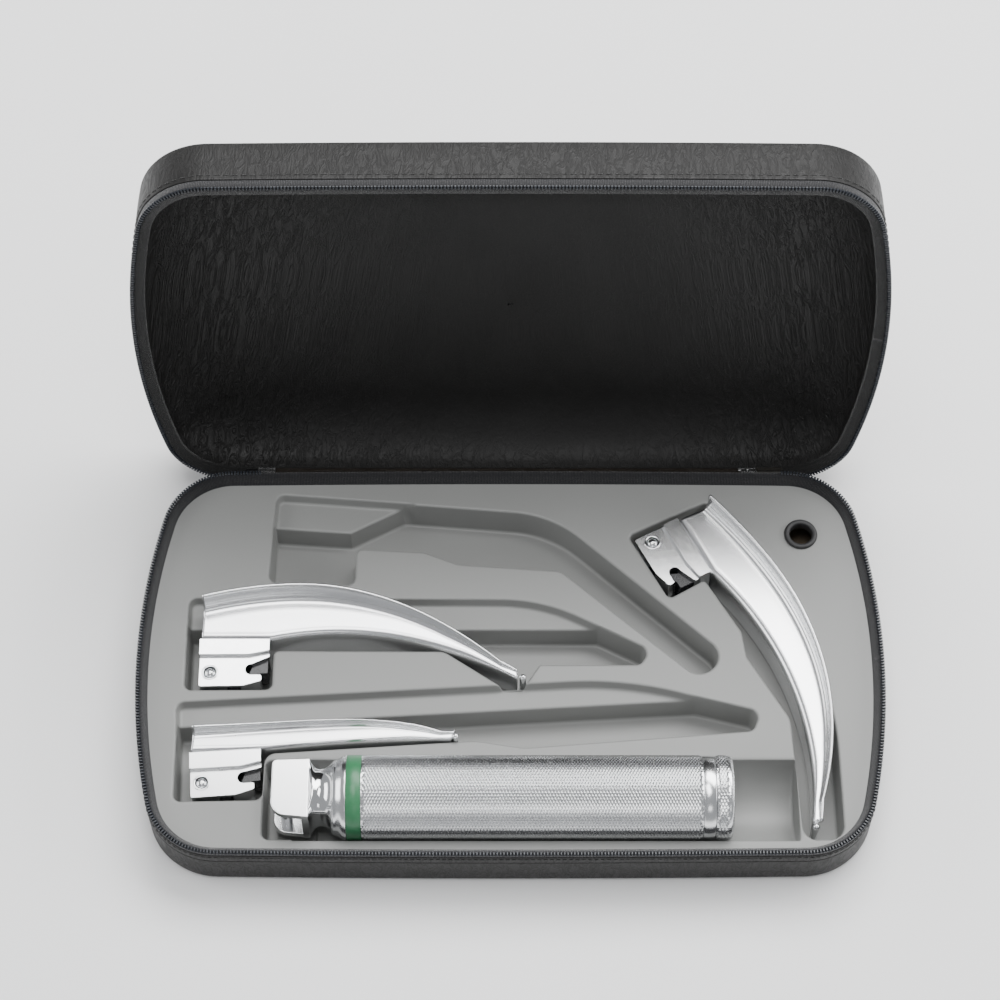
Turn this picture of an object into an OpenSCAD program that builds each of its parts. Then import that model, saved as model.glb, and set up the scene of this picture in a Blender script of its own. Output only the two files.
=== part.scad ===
// Laryngoscope set: one battery handle and three hook-on blades in a fitted zip case.
// Millimetres, +Z up, +Y towards the case hinge. The origin is the centre of the base's underside.
// The case is drawn with its lid standing open.

/* [Case] */
// Outside width of the case
case_w = 260; // [240:1:300]
// Outside depth of the case, hinge edge to front edge
case_d = 150; // [146:1:170]
// Height of the base, underside to rim
base_h = 21; // [20:0.5:26]
// Depth of the lid, rim to outer face
lid_h = 21.5; // [18:0.5:26]
// How far each short side bows out
side_bow = 11.8; // [6:0.2:14]
// How far the front and back edges bow out
end_bow = 1.2; // [0.6:0.1:2.5]
// Radius of the case corners
corner_r = 25; // [18:1:30]
// Thickness of the leatherette covered walls
wall = 2; // [1.6:0.1:2.4]
// Angle that the lid has turned back from closed
lid_open = 99.2; // [60:0.1:105]

/* [Tray] */
// Height of the tray's flat deck
deck_z = 17.5; // [16:0.5:18.5]
// Height of the floor of the deep pockets
floor_z = 4; // [3.8:0.1:6]
// Thickness of the formed tray sheet
sheet = 0.9; // [0.6:0.1:0.9]

/* [Handle] */
// Diameter of the battery handle
handle_d = 29; // [26:0.5:29]
// Height of the handle's axis
handle_z = 19; // [18.8:0.1:20]
// Distance of the handle's axis from the case centre, towards the front
handle_y = 52.9; // [52.5:0.1:53.2]
// Width of the slot between the two fork cheeks
fork_gap = 12.6; // [12.3:0.1:13]
// Diameter of the pin that a blade hooks on
pin_d = 3.9; // [3.6:0.1:4]

/* [Blades] */
// Height of the flat web of a stowed blade
web_z = 19.3; // [18.5:0.1:20]
// Thickness of the blade sheet
blade_t = 1.2; // [0.8:0.1:1.4]
// Lowest edge of a stowed blade's spatula
spatula_z = 4.4; // [4.2:0.1:6]

/* [Hidden] */
$fn = 48;

// gap between the two rims that the meshed zip fills
zip_gap = 1.6;
tooth_h = 0.7;
tooth_w = 1.4;
tape_t = 0.8;
tape_w = 3.2;
rim_top = base_h;
shell_top = base_h - tape_t;
base_floor = 1.6;
board_t = 1.2;
edge_chamfer = 3;
tray_inset = 2.2;
// pivot of the lid: inside the back edge, and below the closed lid's rim
pivot_in = 4.6;
pivot_drop = 8.6;
pivot_y = case_d / 2 - pivot_in;
pivot_z = base_h + zip_gap - pivot_drop;
lid_rim = base_h + zip_gap;
lid_top = lid_rim + lid_h;
// the zip teeth stop where the rims turn close to the pivot
teeth_back = case_d / 2 - 3.6;
overlap = 0.01;

/* ---------- geometry helpers ---------- */

function unit(v) = v / norm(v);
function arc_points(c, r, a0, a1, n) = [for (i = [0:n]) c + r * [cos(a0 + (a1 - a0) * i / n), sin(a0 + (a1 - a0) * i / n)]];
function angle_of(v) = atan2(v[1], v[0]);

// one quarter of the case outline: side arc, corner arc, end arc, all tangent
function quarter(inset) =
    let (a = case_w / 2, b = case_d / 2,
        rs = (b * b + side_bow * side_bow) / (2 * side_bow),
        rf = (a * a + end_bow * end_bow) / (2 * end_bow),
        cs = [a - rs, 0], cf = [0, b - rf],
        d1 = rs - corner_r, d2 = rf - corner_r, d = norm(cf - cs),
        along = (d1 * d1 - d2 * d2 + d * d) / (2 * d),
        across = sqrt(d1 * d1 - along * along),
        ex = (cf - cs) / d, ey = [-ex[1], ex[0]],
        c = cs + ex * along + ey * across,
        g = angle_of(c - cs), h = angle_of(c - cf))
    concat(arc_points(cs, rs - inset, 0, g, 5),
        skip_first(arc_points(c, corner_r - inset, g, h, 8)),
        skip_first(arc_points(cf, rf - inset, h, 90, 4)));

function mirrored(p, sx, sy) = [for (q = p) [q[0] * sx, q[1] * sy]];
function reversed(p) = [for (i = [len(p) - 1:-1:0]) p[i]];
function skip_first(p) = [for (i = [1:len(p) - 1]) p[i]];
function skip_ends(p) = [for (i = [1:len(p) - 2]) p[i]];

function case_outline(inset) =
    let (q = quarter(inset), upper = concat(q, skip_first(reversed(mirrored(q, -1, 1)))))
    concat(upper, skip_ends(reversed(mirrored(upper, 1, -1))));

module plate(inset, z0, z1) {
    translate([0, 0, z0])
        linear_extrude(z1 - z0)
            polygon(case_outline(inset));
}

module rim_ring(outer, inner, z0, z1) {
    difference() {
        plate(outer, z0, z1);
        plate(inner, z0 - 1, z1 + 1);
    }
}

// polygon whose corners [x, y, radius] are rounded with arcs
function corner_arc(p0, p1, p2, r, n) =
    let (u = unit(p0 - p1), v = unit(p2 - p1), half = acos(max(-1, min(1, u * v))) / 2,
        reach = r / tan(half), c = p1 + unit(u + v) * r / sin(half),
        a0 = angle_of(p1 + u * reach - c), a1 = angle_of(p1 + v * reach - c),
        turn = a1 - a0 > 180 ? a1 - a0 - 360 : a1 - a0 < -180 ? a1 - a0 + 360 : a1 - a0)
    arc_points(c, r, a0, a0 + turn, n);

function xy(p) = [p[0], p[1]];
function rounded(c) =
    let (n = len(c))
    [for (i = [0:n - 1])
        each (c[i][2] > 0
            ? corner_arc(xy(c[(i + n - 1) % n]), xy(c[i]), xy(c[(i + 1) % n]), c[i][2], c[i][2] > 20 ? 8 : 4)
            : [xy(c[i])])];

// same corners moved outwards by t; the corners run anticlockwise
function line_normal(a, b) = let (d = unit(b - a)) [d[1], -d[0]];
function side_of(a, b, c) = sign((b[0] - a[0]) * (c[1] - b[1]) - (b[1] - a[1]) * (c[0] - b[0]));
function grown(c, t) =
    let (n = len(c))
    [for (i = [0:n - 1])
        let (a = xy(c[(i + n - 1) % n]), b = xy(c[i]), d = xy(c[(i + 1) % n]),
            m = line_normal(a, b), k = line_normal(b, d), s = (m + k) / (1 + m * k),
            p = b + t * s)
        [p[0], p[1], c[i][2] > 0 ? max(0.2, c[i][2] + t * side_of(a, b, d)) : 0]];

module pocket(corners, t, z0, z1) {
    translate([0, 0, z0])
        linear_extrude(z1 - z0)
            polygon(rounded(t == 0 ? corners : grown(corners, t)));
}

/* ---------- case base ---------- */

module base_shell() {
    color("#2b2927")
        difference() {
            hull() {
                plate(edge_chamfer, 0, 0.1);
                plate(0, edge_chamfer, shell_top);
            }
            plate(wall, base_floor, base_h);
        }
}

module base_board() {
    color("#8a7a62")
        plate(wall + 0.4, base_floor, base_floor + board_t);
}

module base_zip_tape() {
    color("#1c1c1e")
        union() {
            rim_ring(0, tape_w, shell_top, rim_top);
            rim_ring(wall, tape_w, deck_z, shell_top + overlap);
        }
}

module front_part() {
    translate([-case_w, -case_d, -case_d])
        cube([2 * case_w, case_d + teeth_back, 3 * case_d]);
}

module base_zip_teeth() {
    color("#2a2c33")
        intersection() {
            rim_ring(0, tooth_w, rim_top, rim_top + tooth_h);
            front_part();
        }
}

/* ---------- tray ---------- */

// each pocket is [floor height, corners]; the corners run anticlockwise
shelf_z = 14;
large_deep = [floor_z, [
    [-85.6, 31, 3], [-55.1, 29.8, 3], [-55, 44.6, 2.5], [-30.5, 43.2, 3], [-18.5, 38.3, 3],
    [18, 35.6, 4], [66.3, -7.6, 6.4], [75.2, 2.1, 6.4], [14.7, 58.1, 40], [-38.2, 62.6, 0.6],
    [-57.2, 52.4, 0.6], [-84.6, 54.4, 0]]];
large_shelf = [shelf_z, [[-84.7, 54.2, 0], [-57, 52.2, 0], [-37.4, 62.6, 0], [-84, 66.6, 3]]];
middle_deep = [floor_z, [
    [-113.2, -11.4, 2.5], [-82.8, -11.2, 2.5], [-82.8, 3.8, 2], [-23.2, 3.6, 6], [-2.4, -10.6, 3],
    [4.6, -10.4, 3], [10.2, -1.6, 1.5], [45.3, -1.6, 3], [48.9, 4, 3.4], [31, 13.4, 0.6], [-113.2, 13.4, 0]]];
middle_shelf = [shelf_z, [[-113.2, 13.2, 0], [31.3, 13.2, 0], [10.9, 23.7, 60], [-113.2, 24.4, 3]]];
lower_deep = [floor_z, [
    [-114.6, -53.4, 2.5], [-84.4, -52.8, 3], [-84.2, -35.6, 4], [-12, -30.7, 6], [4.9, -33.4, 2],
    [83.5, -27, 3], [86.5, -19.8, 3.4], [64.5, -14.1, 0.6], [-114.8, -24.6, 0]]];
lower_shelf = [shelf_z, [[-114.9, -24.8, 0], [64.9, -14.3, 0], [39.4, -7.4, 120], [-115.6, -16.4, 3]]];
right_deep = [floor_z, [
    [42.3, 49.8, 2], [56.1, 24.4, 2], [69, 32, 1.5], [81.2, 11.2, 3], [82.6, 1.2, 3],
    [96.6, -22.6, 8], [98.9, -67.6, 5], [112.6, -67.2, 5], [112.2, -22, 90], [98, 27, 60], [71, 63.8, 3]]];
pockets = [large_deep, large_shelf, middle_deep, middle_shelf, lower_deep, lower_shelf, right_deep];
head_pocket = [[-84, -67.3, 2], [-66.6, -67.3, 0], [-66.6, -38.5, 0], [-84, -38.5, 2]];
cradle_r = handle_d / 2 + 0.6;
cradle_x0 = -67;
cradle_x1 = 97.5;
grommet_x = 104;
grommet_y = 50.1;
grommet_hole = 4.8;

module cradle(t) {
    intersection() {
        translate([cradle_x0 - t, -handle_y, handle_z])
            rotate([0, 90, 0])
                cylinder(r = cradle_r + t, h = cradle_x1 - cradle_x0 + 2 * t, $fn = 96);
        translate([cradle_x0 - t, -case_d, 0])
            cube([cradle_x1 - cradle_x0 + 2 * t, case_d, deck_z + (t > 0 ? 0 : 0.5)]);
    }
}

module tray() {
    color("#a9a9a5")
        difference() {
            union() {
                plate(tray_inset, deck_z - sheet, deck_z - overlap);
                rim_ring(tray_inset, tray_inset + sheet, base_floor + board_t, deck_z - sheet);
                for (p = pockets)
                    pocket(p[1], sheet, p[0] - sheet, deck_z - overlap);
                pocket(head_pocket, sheet, floor_z - sheet, deck_z - overlap);
                cradle(sheet);
            }
            for (p = pockets)
                pocket(p[1], 0, p[0], deck_z + 1);
            pocket(head_pocket, 0, floor_z, deck_z + 1);
            cradle(0);
            translate([grommet_x, grommet_y, 0])
                cylinder(r = grommet_hole, h = base_h);
        }
}

module lamp_grommet() {
    color("#232323")
        translate([grommet_x, grommet_y, 0])
            rotate_extrude()
                polygon([[4, 14.8], [5.5, 14.8], [5.5, 16.5], [4.7, 16.5], [4.7, 17.6], [5.9, 17.6],
                    [5.9, 18.3], [5.3, 18.8], [4, 18.8]]);
}

/* ---------- hinge strip and zip fittings ---------- */

strip_x0 = -85;
strip_x1 = 89;
tab_x1 = 98.8;
slider_x = -92;

module hinge_strip() {
    color("#2c2622")
        translate([strip_x0, case_d / 2 + 0.3, 16])
            cube([strip_x1 - strip_x0, 3.4, 0.9]);
}

module zip_end_tab() {
    color("#1d1b1a")
        translate([strip_x1 + 0.4, case_d / 2 + 0.3, 16.4])
            cube([tab_x1 - strip_x1 - 0.4, 2.6, 1.1]);
}

slider_y = case_d / 2 + 0.7;
pull_z = 10.4;
pull_pin_r = 0.7;

module zip_slider() {
    color("#3a3a3c")
        translate([slider_x, slider_y, 0])
            union() {
                translate([-4, 0, 12.4])
                    cube([8, 2.3, 4.4]);
                translate([-2.2, 0.9, pull_z - 1.4])
                    cube([4.4, 0.9, 3.6]);
                translate([0, 0.1, pull_z - 0.2])
                    rotate([-90, 0, 0])
                        cylinder(r = pull_pin_r, h = 1.2);
            }
}

module zip_pull() {
    color("#3a3a3c")
        translate([slider_x, slider_y, pull_z - 0.2])
            rotate([-90, 0, 0])
                difference() {
                    hull() {
                        cylinder(r = 1.6, h = 0.8, $fn = 32);
                        translate([0, 7, 0])
                            cylinder(r = 2.2, h = 0.8, $fn = 32);
                    }
                    translate([0, 0, -1])
                        cylinder(r = pull_pin_r + 0.05, h = 3);
                }
}

/* ---------- case lid, drawn closed and turned back about the hinge ---------- */

module opened() {
    translate([0, pivot_y, pivot_z])
        rotate([-lid_open, 0, 0])
            translate([0, -pivot_y, -pivot_z])
                children();
}

module lid_shell() {
    color("#2b2927")
        opened()
            difference() {
                hull() {
                    plate(0, lid_rim + tape_t, lid_top - edge_chamfer);
                    plate(edge_chamfer, lid_top - 0.1, lid_top);
                }
                plate(wall, lid_rim - 1, lid_top - base_floor);
            }
}

module lid_board() {
    color("#8a7a62")
        opened()
            plate(wall + 0.4, lid_top - base_floor - board_t, lid_top - base_floor);
}

module lid_lining() {
    color("#1f1d1c")
        opened()
            difference() {
                plate(wall, lid_rim + tape_t, lid_top - base_floor - board_t);
                plate(wall + 1, lid_rim, lid_top - base_floor - board_t - 1);
            }
}

module lid_zip_tape() {
    color("#1c1c1e")
        opened()
            rim_ring(0, tape_w, lid_rim, lid_rim + tape_t);
}

module lid_zip_teeth() {
    color("#2a2c33")
        opened()
            intersection() {
                rim_ring(0, tooth_w, lid_rim - tooth_h, lid_rim);
                front_part();
            }
}

/* ---------- battery handle, along X with its axis at the origin of at_handle() ---------- */

head_x0 = -80.5;
neck_x0 = -68;
collar_x0 = -60;
ring_x0 = -55.3;
tube_x0 = -50.3;
band_x0 = 64.7;
cap_x0 = 68.9;
cap_x1 = 75;
handle_r = handle_d / 2;
tube_in_r = handle_r - 1;
sleeve_in_r = tube_in_r - 0.4;
cell_r = 13;
cheek_half = 10.5;
head_half_z = 9;
pin_x = -75.9;
pin_y = -5.6;
pin_half = head_half_z - 0.7;
slot_depth = 10.6;
ball_arm = 14.3;

module at_handle() {
    translate([0, -handle_y, handle_z])
        children();
}

// solid of revolution about X from [x, radius] points
module turned(points, fn = 96) {
    rotate([90, 0, 90])
        rotate_extrude($fn = fn)
            polygon([for (p = points) [p[1], p[0]]]);
}

module handle_head() {
    color("#c9cacb")
        at_handle()
            difference() {
                union() {
                    turned([[neck_x0 - 1, 0], [neck_x0 - 1, 12.4], [neck_x0 + 1.6, 12.4], [neck_x0 + 3.2, 11.4],
                        [neck_x0 + 5.4, 11.4], [collar_x0 - 0.8, 12.6], [collar_x0, 12.6],
                        [collar_x0, 11.6], [ring_x0 + 5, 11.6], [ring_x0 + 5, 0]]);
                    translate([0, 0, -head_half_z])
                        linear_extrude(2 * head_half_z)
                            polygon(rounded([[head_x0, -9.6, 5], [neck_x0, -10.8, 0], [neck_x0, cheek_half, 0],
                                [head_x0, cheek_half - 0.4, 1.2]]));
                }
                translate([head_x0 - 1, -cheek_half - 2, -fork_gap / 2])
                    cube([slot_depth + 1, 2 * cheek_half + 4, fork_gap]);
                for (s = [-1, 1])
                    translate([-64.4, s * 13.2, -head_half_z - 6])
                        cylinder(r = 4.8, h = 2 * head_half_z + 12);
                translate([pin_x, pin_y, -pin_half])
                    cylinder(r = pin_d / 2, h = 2 * pin_half);
                for (s = [-1, 1])
                    translate([pin_x, pin_y + ball_arm, s * (fork_gap / 2 - 1.4)])
                        sphere(r = 2.2);
                turned([[head_x0, 0], [head_x0, 2.75], [neck_x0 + 2, 2.75], [neck_x0 + 2, 5.1],
                    [ring_x0 + 6, 5.1], [ring_x0 + 6, 0]]);
            }
}

module hook_pin() {
    color("#dcdcdc")
        at_handle()
            translate([pin_x, pin_y, -pin_half])
                cylinder(r = pin_d / 2, h = 2 * pin_half);
}

module head_collar() {
    color("#b9bbbd")
        at_handle()
            turned([[collar_x0, 11.7], [collar_x0, 12.6], [ring_x0 - 0.6, handle_r - 0.4], [ring_x0, handle_r],
                [ring_x0, 11.7]]);
}

module green_ring() {
    color("#3f7f50")
        at_handle()
            turned([[ring_x0, 11.7], [ring_x0, handle_r - 0.1], [tube_x0, handle_r - 0.1], [tube_x0, 11.7]]);
}

module grip_tube() {
    color("#bdbfc1")
        at_handle()
            turned([[tube_x0, tube_in_r], [tube_x0, handle_r], [band_x0, handle_r], [band_x0, tube_in_r]]);
}

module tail_band() {
    color("#d6d8d9")
        at_handle()
            turned([[band_x0, tube_in_r], [band_x0, handle_r - 0.2], [cap_x0, handle_r - 0.2],
                [cap_x0, tube_in_r - 0.6], [band_x0 - 4, tube_in_r - 0.6], [band_x0 - 4, tube_in_r]]);
}

module cell_sleeve() {
    color("#e4e0d2")
        at_handle()
            turned([[-49, sleeve_in_r], [-49, tube_in_r], [57, tube_in_r], [57, sleeve_in_r]]);
}

module cell(x0, shade) {
    color(shade)
        at_handle()
            turned([[x0, 0], [x0, 2.8], [x0 + 1.5, 2.8], [x0 + 1.5, cell_r], [x0 + 50, cell_r], [x0 + 50, 0]]);
}

module cell_front() {
    cell(-46.5, "#5b6b7a");
}

module cell_rear() {
    cell(4, "#5b6b7a");
}

module lamp_unit() {
    color("#d8c27a")
        at_handle()
            turned([[-65.4, 0], [-65.4, 3.4], [-61, 3.4], [-61, 5], [-48.6, 5], [-48.6, 2], [-47, 2], [-47, 0]]);
}

module switch_plunger() {
    color("#efefef")
        at_handle()
            turned([[-72.4, 0], [-72.4, 1.9], [-71.8, 2.5], [-69.9, 2.5], [-69.9, 2.7], [-67.2, 2.7], [-67.2, 0]]);
}

module plunger_spring() {
    color("#b8b8b8")
        at_handle()
            turned([[-67.1, 1.6], [-67.1, 2.5], [-65.5, 2.5], [-65.5, 1.6]]);
}

module end_cap() {
    color("#bdbfc1")
        at_handle()
            turned([[cap_x0 + 0.1, 0], [cap_x0 + 0.1, handle_r], [cap_x1 - 2, handle_r],
                [cap_x1 - 0.6, handle_r - 0.6], [cap_x1, handle_r - 2.2], [cap_x1, 0]]);
}

// threaded spigot's sealing ring, on the cap's inner face
module cap_seal() {
    color("#1e1e1e")
        at_handle()
            turned([[66.6, 8.4], [66.6, 11.6], [cap_x0 + 0.1, 11.6], [cap_x0 + 0.1, 8.4]]);
}

module cap_spring() {
    color("#b8b8b8")
        at_handle()
            turned([[54.3, 2], [54.3, 4.4], [cap_x0 + 0.1, 7.6], [cap_x0 + 0.1, 5.6]]);
}

/* ---------- blades, each in its own frame: x from heel to tip, y to the teeth side ---------- */

// kind: [heel x, heel y, angle, rim curve, bend curve, flange height, fillet run, lift of the block's plate]
curved3 = [60.2, 55.8, -62.8, [[0.5, 11.2], [42, 22.5], [88, 24], [125, -17.5]],
    [[23.5, -0.1], [55, 8.5], [92, 5.5], [125, -17.6]], 8.6, 4.5, 0];
curved2 = [-108.4, 7.4, 0, [[0.3, 11.6], [40, 22], [74, 16.8], [112, -15.8]],
    [[25, -0.2], [55, 6.5], [84, -0.3], [112, -16]], 8.6, 4.5, 0];
straight1 = [-109.7, -36.2, 3.3, [[0.5, 7.3], [50, 7], [70, 9.5], [90.3, 0]],
    [[24.5, -0.1], [45, 0.9], [70, 1.5], [90.3, -0.1]], 4, 2.6, 1.5];
stations = 22;
block_end = 24.3;

module placed(kind) {
    translate([kind[0], kind[1], 0])
        rotate([0, 0, kind[2]])
            children();
}

function bezier(c, t) =
    pow(1 - t, 3) * c[0] + 3 * t * pow(1 - t, 2) * c[1] + 3 * t * t * (1 - t) * c[2] + t * t * t * c[3];
// the spatula's line is straight behind the block and then follows its curve
function bend_at(kind, s) =
    let (lead = kind[4][0][0] / kind[4][3][0])
    s < lead ? [kind[4][0][0] * s / lead, kind[4][0][1]] : bezier(kind[4], (s - lead) / (1 - lead));
function flange_at(kind, s) = kind[5] * (1 - pow(max(0, (s - 0.35) / 0.65), 1.4));

// half section from the spatula's lower edge, over the web, to the flange's rim
function outer_line(w, h, run, low) =
    let (b = min(3.5, w * 0.45), f = min(run, w * 0.45))
    concat([[0, low], [0, web_z - b]],
        [for (a = [150, 120]) [b + b * cos(a), web_z - b + b * sin(a)]],
        [[b, web_z], [w - f, web_z]],
        [for (k = [0.45, 0.75]) [w - f + f * k, web_z + h * k * k * 0.9]],
        [[w, web_z + h]]);
function outward(p, i) =
    let (n = len(p), d = unit(p[min(i + 1, n - 1)] - p[max(i - 1, 0)]))
    [-d[1], d[0]];
function section(w, h, run, low) =
    let (p = outer_line(w, h, run, low))
    concat(p, [for (i = [len(p) - 1:-1:0]) p[i] - blade_t * outward(p, i)]);

module sweep(rings) {
    n = len(rings[0]);
    m = len(rings);
    polyhedron(
        points = [for (r = rings) each r],
        faces = concat([[for (k = [0:n - 1]) k]],
            [for (i = [0:m - 2], k = [0:n - 1])
                [i * n + k, (i + 1) * n + k, (i + 1) * n + (k + 1) % n]],
            [for (i = [0:m - 2], k = [0:n - 1])
                [i * n + k, (i + 1) * n + (k + 1) % n, i * n + (k + 1) % n]],
            [[for (k = [n - 1:-1:0]) (m - 1) * n + k]]),
        convexity = 6);
}

function station(kind, s) =
    let (b = bend_at(kind, s), r = bezier(kind[3], s), w = max(2.4, norm(r - b)),
        across = norm(r - b) < 0.5 ? [0.35, 0.94] : unit(r - b),
        low = spatula_z + 3 * pow(max(0, (s - 0.9) / 0.1), 2))
    [for (p = section(w, flange_at(kind, s), kind[6], low)) [b[0] + across[0] * p[0], b[1] + across[1] * p[0], p[1]]];

module spatula(kind) {
    color("#cfd0d1")
        placed(kind)
            sweep([for (i = [0:stations]) station(kind, 0.004 + 0.986 * i / stations)]);
}

plate_top = web_z - 1.1;
plate_low = plate_top - 12;
bar_top = web_z + 0.6;
bar_low = plate_low + 0.3;
groove = 1.2;
hook_x = 18.2;
hook_y = -11.3;
hook_r = 2.1;
ball_x = 3.9;
ball_y = -12.5;
ball_r = 2.2;
ball_bore = 2.3;
bore_z = [plate_low + 1.6, plate_top - 1.6];

module block(kind) {
    mid = (plate_top + plate_low) / 2;
    lift = kind[7];
    color("#d4d5d6")
        placed(kind)
            difference() {
                union() {
                    translate([0, 0, bar_low])
                        linear_extrude(bar_top - bar_low)
                            polygon([[0, -6.2], [17.2, -6.1], [block_end, -4.6], [block_end, -0.3], [0, -0.3]]);
                    translate([0, 0, plate_low])
                        linear_extrude(plate_top - plate_low)
                            polygon(rounded([[0.2, lift - 17.8, 0.8], [15.5, lift - 17.5, 3],
                                [21.9, lift - 15.6, 0.9], [21.7, lift - 13.4, 0.5], [hook_x, lift - 13.4, 0],
                                [hook_x, lift - 9.2, 0], [block_end, -6.4, 0.4],
                                [block_end, -4.8, 0], [17.2, -6.1, 0], [0.2, -6.1, 0]]));
                }
                translate([hook_x, hook_y + lift, 0])
                    cylinder(r = hook_r, h = base_h);
                translate([ball_x, ball_y + lift, 0])
                    cylinder(r = ball_bore, h = base_h);
                translate([12, lift - 12.5, mid])
                    rotate([90, 0, 0])
                        cylinder(r = 2.4, h = 10);
                translate([1.6, lift - 19, plate_low + 1.4])
                    cube([13.4, 1.2 + groove, plate_top - plate_low - 2.8]);
            }
}

// light inlet: the polished end of the fibre bundle in a short ferrule, facing the handle
module inlet(kind) {
    mid = (plate_top + plate_low) / 2;
    color("#26282a")
        placed(kind)
            translate([12, kind[7] - 12.5, mid])
                rotate([90, 0, 0])
                    cylinder(r = 2.3, h = 5.1);
}

// fibre bundle that runs under the web from the block towards the tip
function bundle_ring(kind, s) =
    let (p = bend_at(kind, s), t = unit(bend_at(kind, s + 0.01) - p))
    [for (k = [0:11]) [p[0] - t[1] * (3.2 + 1.1 * cos(30 * k)), p[1] + t[0] * (3.2 + 1.1 * cos(30 * k)),
        web_z - 3 + 1.1 * sin(30 * k)]];

module fibre(kind) {
    color("#d9dde0")
        placed(kind)
            sweep([for (i = [0:8]) bundle_ring(kind, 0.24 + 0.045 * i)]);
}

module ball_upper(kind) {
    color("#e6e6e6")
        placed(kind)
            translate([ball_x, ball_y + kind[7], plate_top - 1.5])
                sphere(r = ball_r);
}

module ball_lower(kind) {
    color("#e6e6e6")
        placed(kind)
            translate([ball_x, ball_y + kind[7], plate_low + 1.5])
                sphere(r = ball_r);
}

module ball_spring(kind) {
    color("#b8b8b8")
        placed(kind)
            translate([ball_x, ball_y + kind[7], plate_low + 4.5])
                difference() {
                    cylinder(r = 1.9, h = plate_top - plate_low - 9);
                    translate([0, 0, -1])
                        cylinder(r = 1.3, h = plate_top);
                }
}

base_shell();
base_board();
tray();
lamp_grommet();
base_zip_tape();
base_zip_teeth();
hinge_strip();
zip_end_tab();
zip_slider();
zip_pull();
lid_shell();
lid_board();
lid_lining();
lid_zip_tape();
lid_zip_teeth();
handle_head();
hook_pin();
head_collar();
green_ring();
grip_tube();
tail_band();
cell_sleeve();
cell_front();
cell_rear();
lamp_unit();
switch_plunger();
plunger_spring();
end_cap();
cap_seal();
cap_spring();
spatula(curved3);  // curved3_spatula
block(curved3);  // curved3_block
inlet(curved3);  // curved3_inlet
fibre(curved3);  // curved3_fibre
ball_upper(curved3);  // curved3_ball_upper
ball_lower(curved3);  // curved3_ball_lower
ball_spring(curved3);  // curved3_ball_spring
spatula(curved2);  // curved2_spatula
block(curved2);  // curved2_block
inlet(curved2);  // curved2_inlet
fibre(curved2);  // curved2_fibre
ball_upper(curved2);  // curved2_ball_upper
ball_lower(curved2);  // curved2_ball_lower
ball_spring(curved2);  // curved2_ball_spring
spatula(straight1);  // straight1_spatula
block(straight1);  // straight1_block
inlet(straight1);  // straight1_inlet
fibre(straight1);  // straight1_fibre
ball_upper(straight1);  // straight1_ball_upper
ball_lower(straight1);  // straight1_ball_lower
ball_spring(straight1);  // straight1_ball_spring
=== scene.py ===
"""Laryngoscope set in its zip case: the visual model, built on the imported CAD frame."""

import math

import bpy
import numpy as np
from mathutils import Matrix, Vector
from mathutils.geometry import delaunay_2d_cdt


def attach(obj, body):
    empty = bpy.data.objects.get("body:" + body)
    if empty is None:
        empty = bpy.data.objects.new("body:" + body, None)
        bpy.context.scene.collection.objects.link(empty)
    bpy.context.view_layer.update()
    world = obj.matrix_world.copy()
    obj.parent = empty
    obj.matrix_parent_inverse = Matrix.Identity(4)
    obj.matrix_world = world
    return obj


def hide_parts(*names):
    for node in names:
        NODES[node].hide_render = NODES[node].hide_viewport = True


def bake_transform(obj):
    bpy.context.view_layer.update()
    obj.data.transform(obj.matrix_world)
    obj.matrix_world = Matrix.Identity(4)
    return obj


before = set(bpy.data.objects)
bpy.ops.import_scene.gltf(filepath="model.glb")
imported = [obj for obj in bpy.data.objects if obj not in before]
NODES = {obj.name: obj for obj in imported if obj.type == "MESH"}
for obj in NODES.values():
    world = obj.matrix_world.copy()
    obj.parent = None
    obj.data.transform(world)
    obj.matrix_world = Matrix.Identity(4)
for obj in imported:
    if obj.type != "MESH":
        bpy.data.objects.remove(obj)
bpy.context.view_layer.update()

MM = 0.001

# Case, in millimetres, as in the CAD model
CASE_W, CASE_D = 260.0, 150.0
BASE_H, LID_H, ZIP_GAP = 21.0, 21.5, 1.6
SKIN_EDGE = 2.0  # radius of the case's outer edges
SIDE_BOW, END_BOW, CORNER_R = 11.8, 1.2, 25.0
LID_RIM = BASE_H + ZIP_GAP
LID_TOP = LID_RIM + LID_H
PIVOT = np.array([0.0, 70.4, 14.0])
LID_OPEN = math.radians(-99.2)
DECK_Z = 17.5
STRIP_X = (-85.0, 89.0)

# Handle, in millimetres
AXIS_Y, AXIS_Z = -52.9, 19.0
HANDLE_R = 14.5
RING_X, TUBE_X, BAND_X, CAP_X, CAP_END = -55.3, -50.3, 64.7, 68.9, 75.0


# ---------------------------------------------------------------- camera, light and floor

def make_camera():
    data = bpy.data.cameras.new("camera")
    data.sensor_width = 36.0
    data.lens = 99.14
    data.clip_start, data.clip_end = 0.05, 20.0
    cam = bpy.data.objects.new("camera", data)
    cam.location = (-0.0036, -0.4320, 0.8775)
    cam.rotation_euler = (math.radians(30.0), 0.0, 0.0)
    bpy.context.collection.objects.link(cam)
    bpy.context.scene.camera = cam


def area_light(name, place, target, size, power):
    data = bpy.data.lights.new(name, "AREA")
    data.shape = "RECTANGLE"
    data.size, data.size_y = size
    data.energy = power
    lamp = bpy.data.objects.new(name, data)
    lamp.location = place
    aim = Vector(target) - Vector(place)
    lamp.rotation_euler = aim.to_track_quat("-Z", "Y").to_euler()
    bpy.context.collection.objects.link(lamp)


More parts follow.
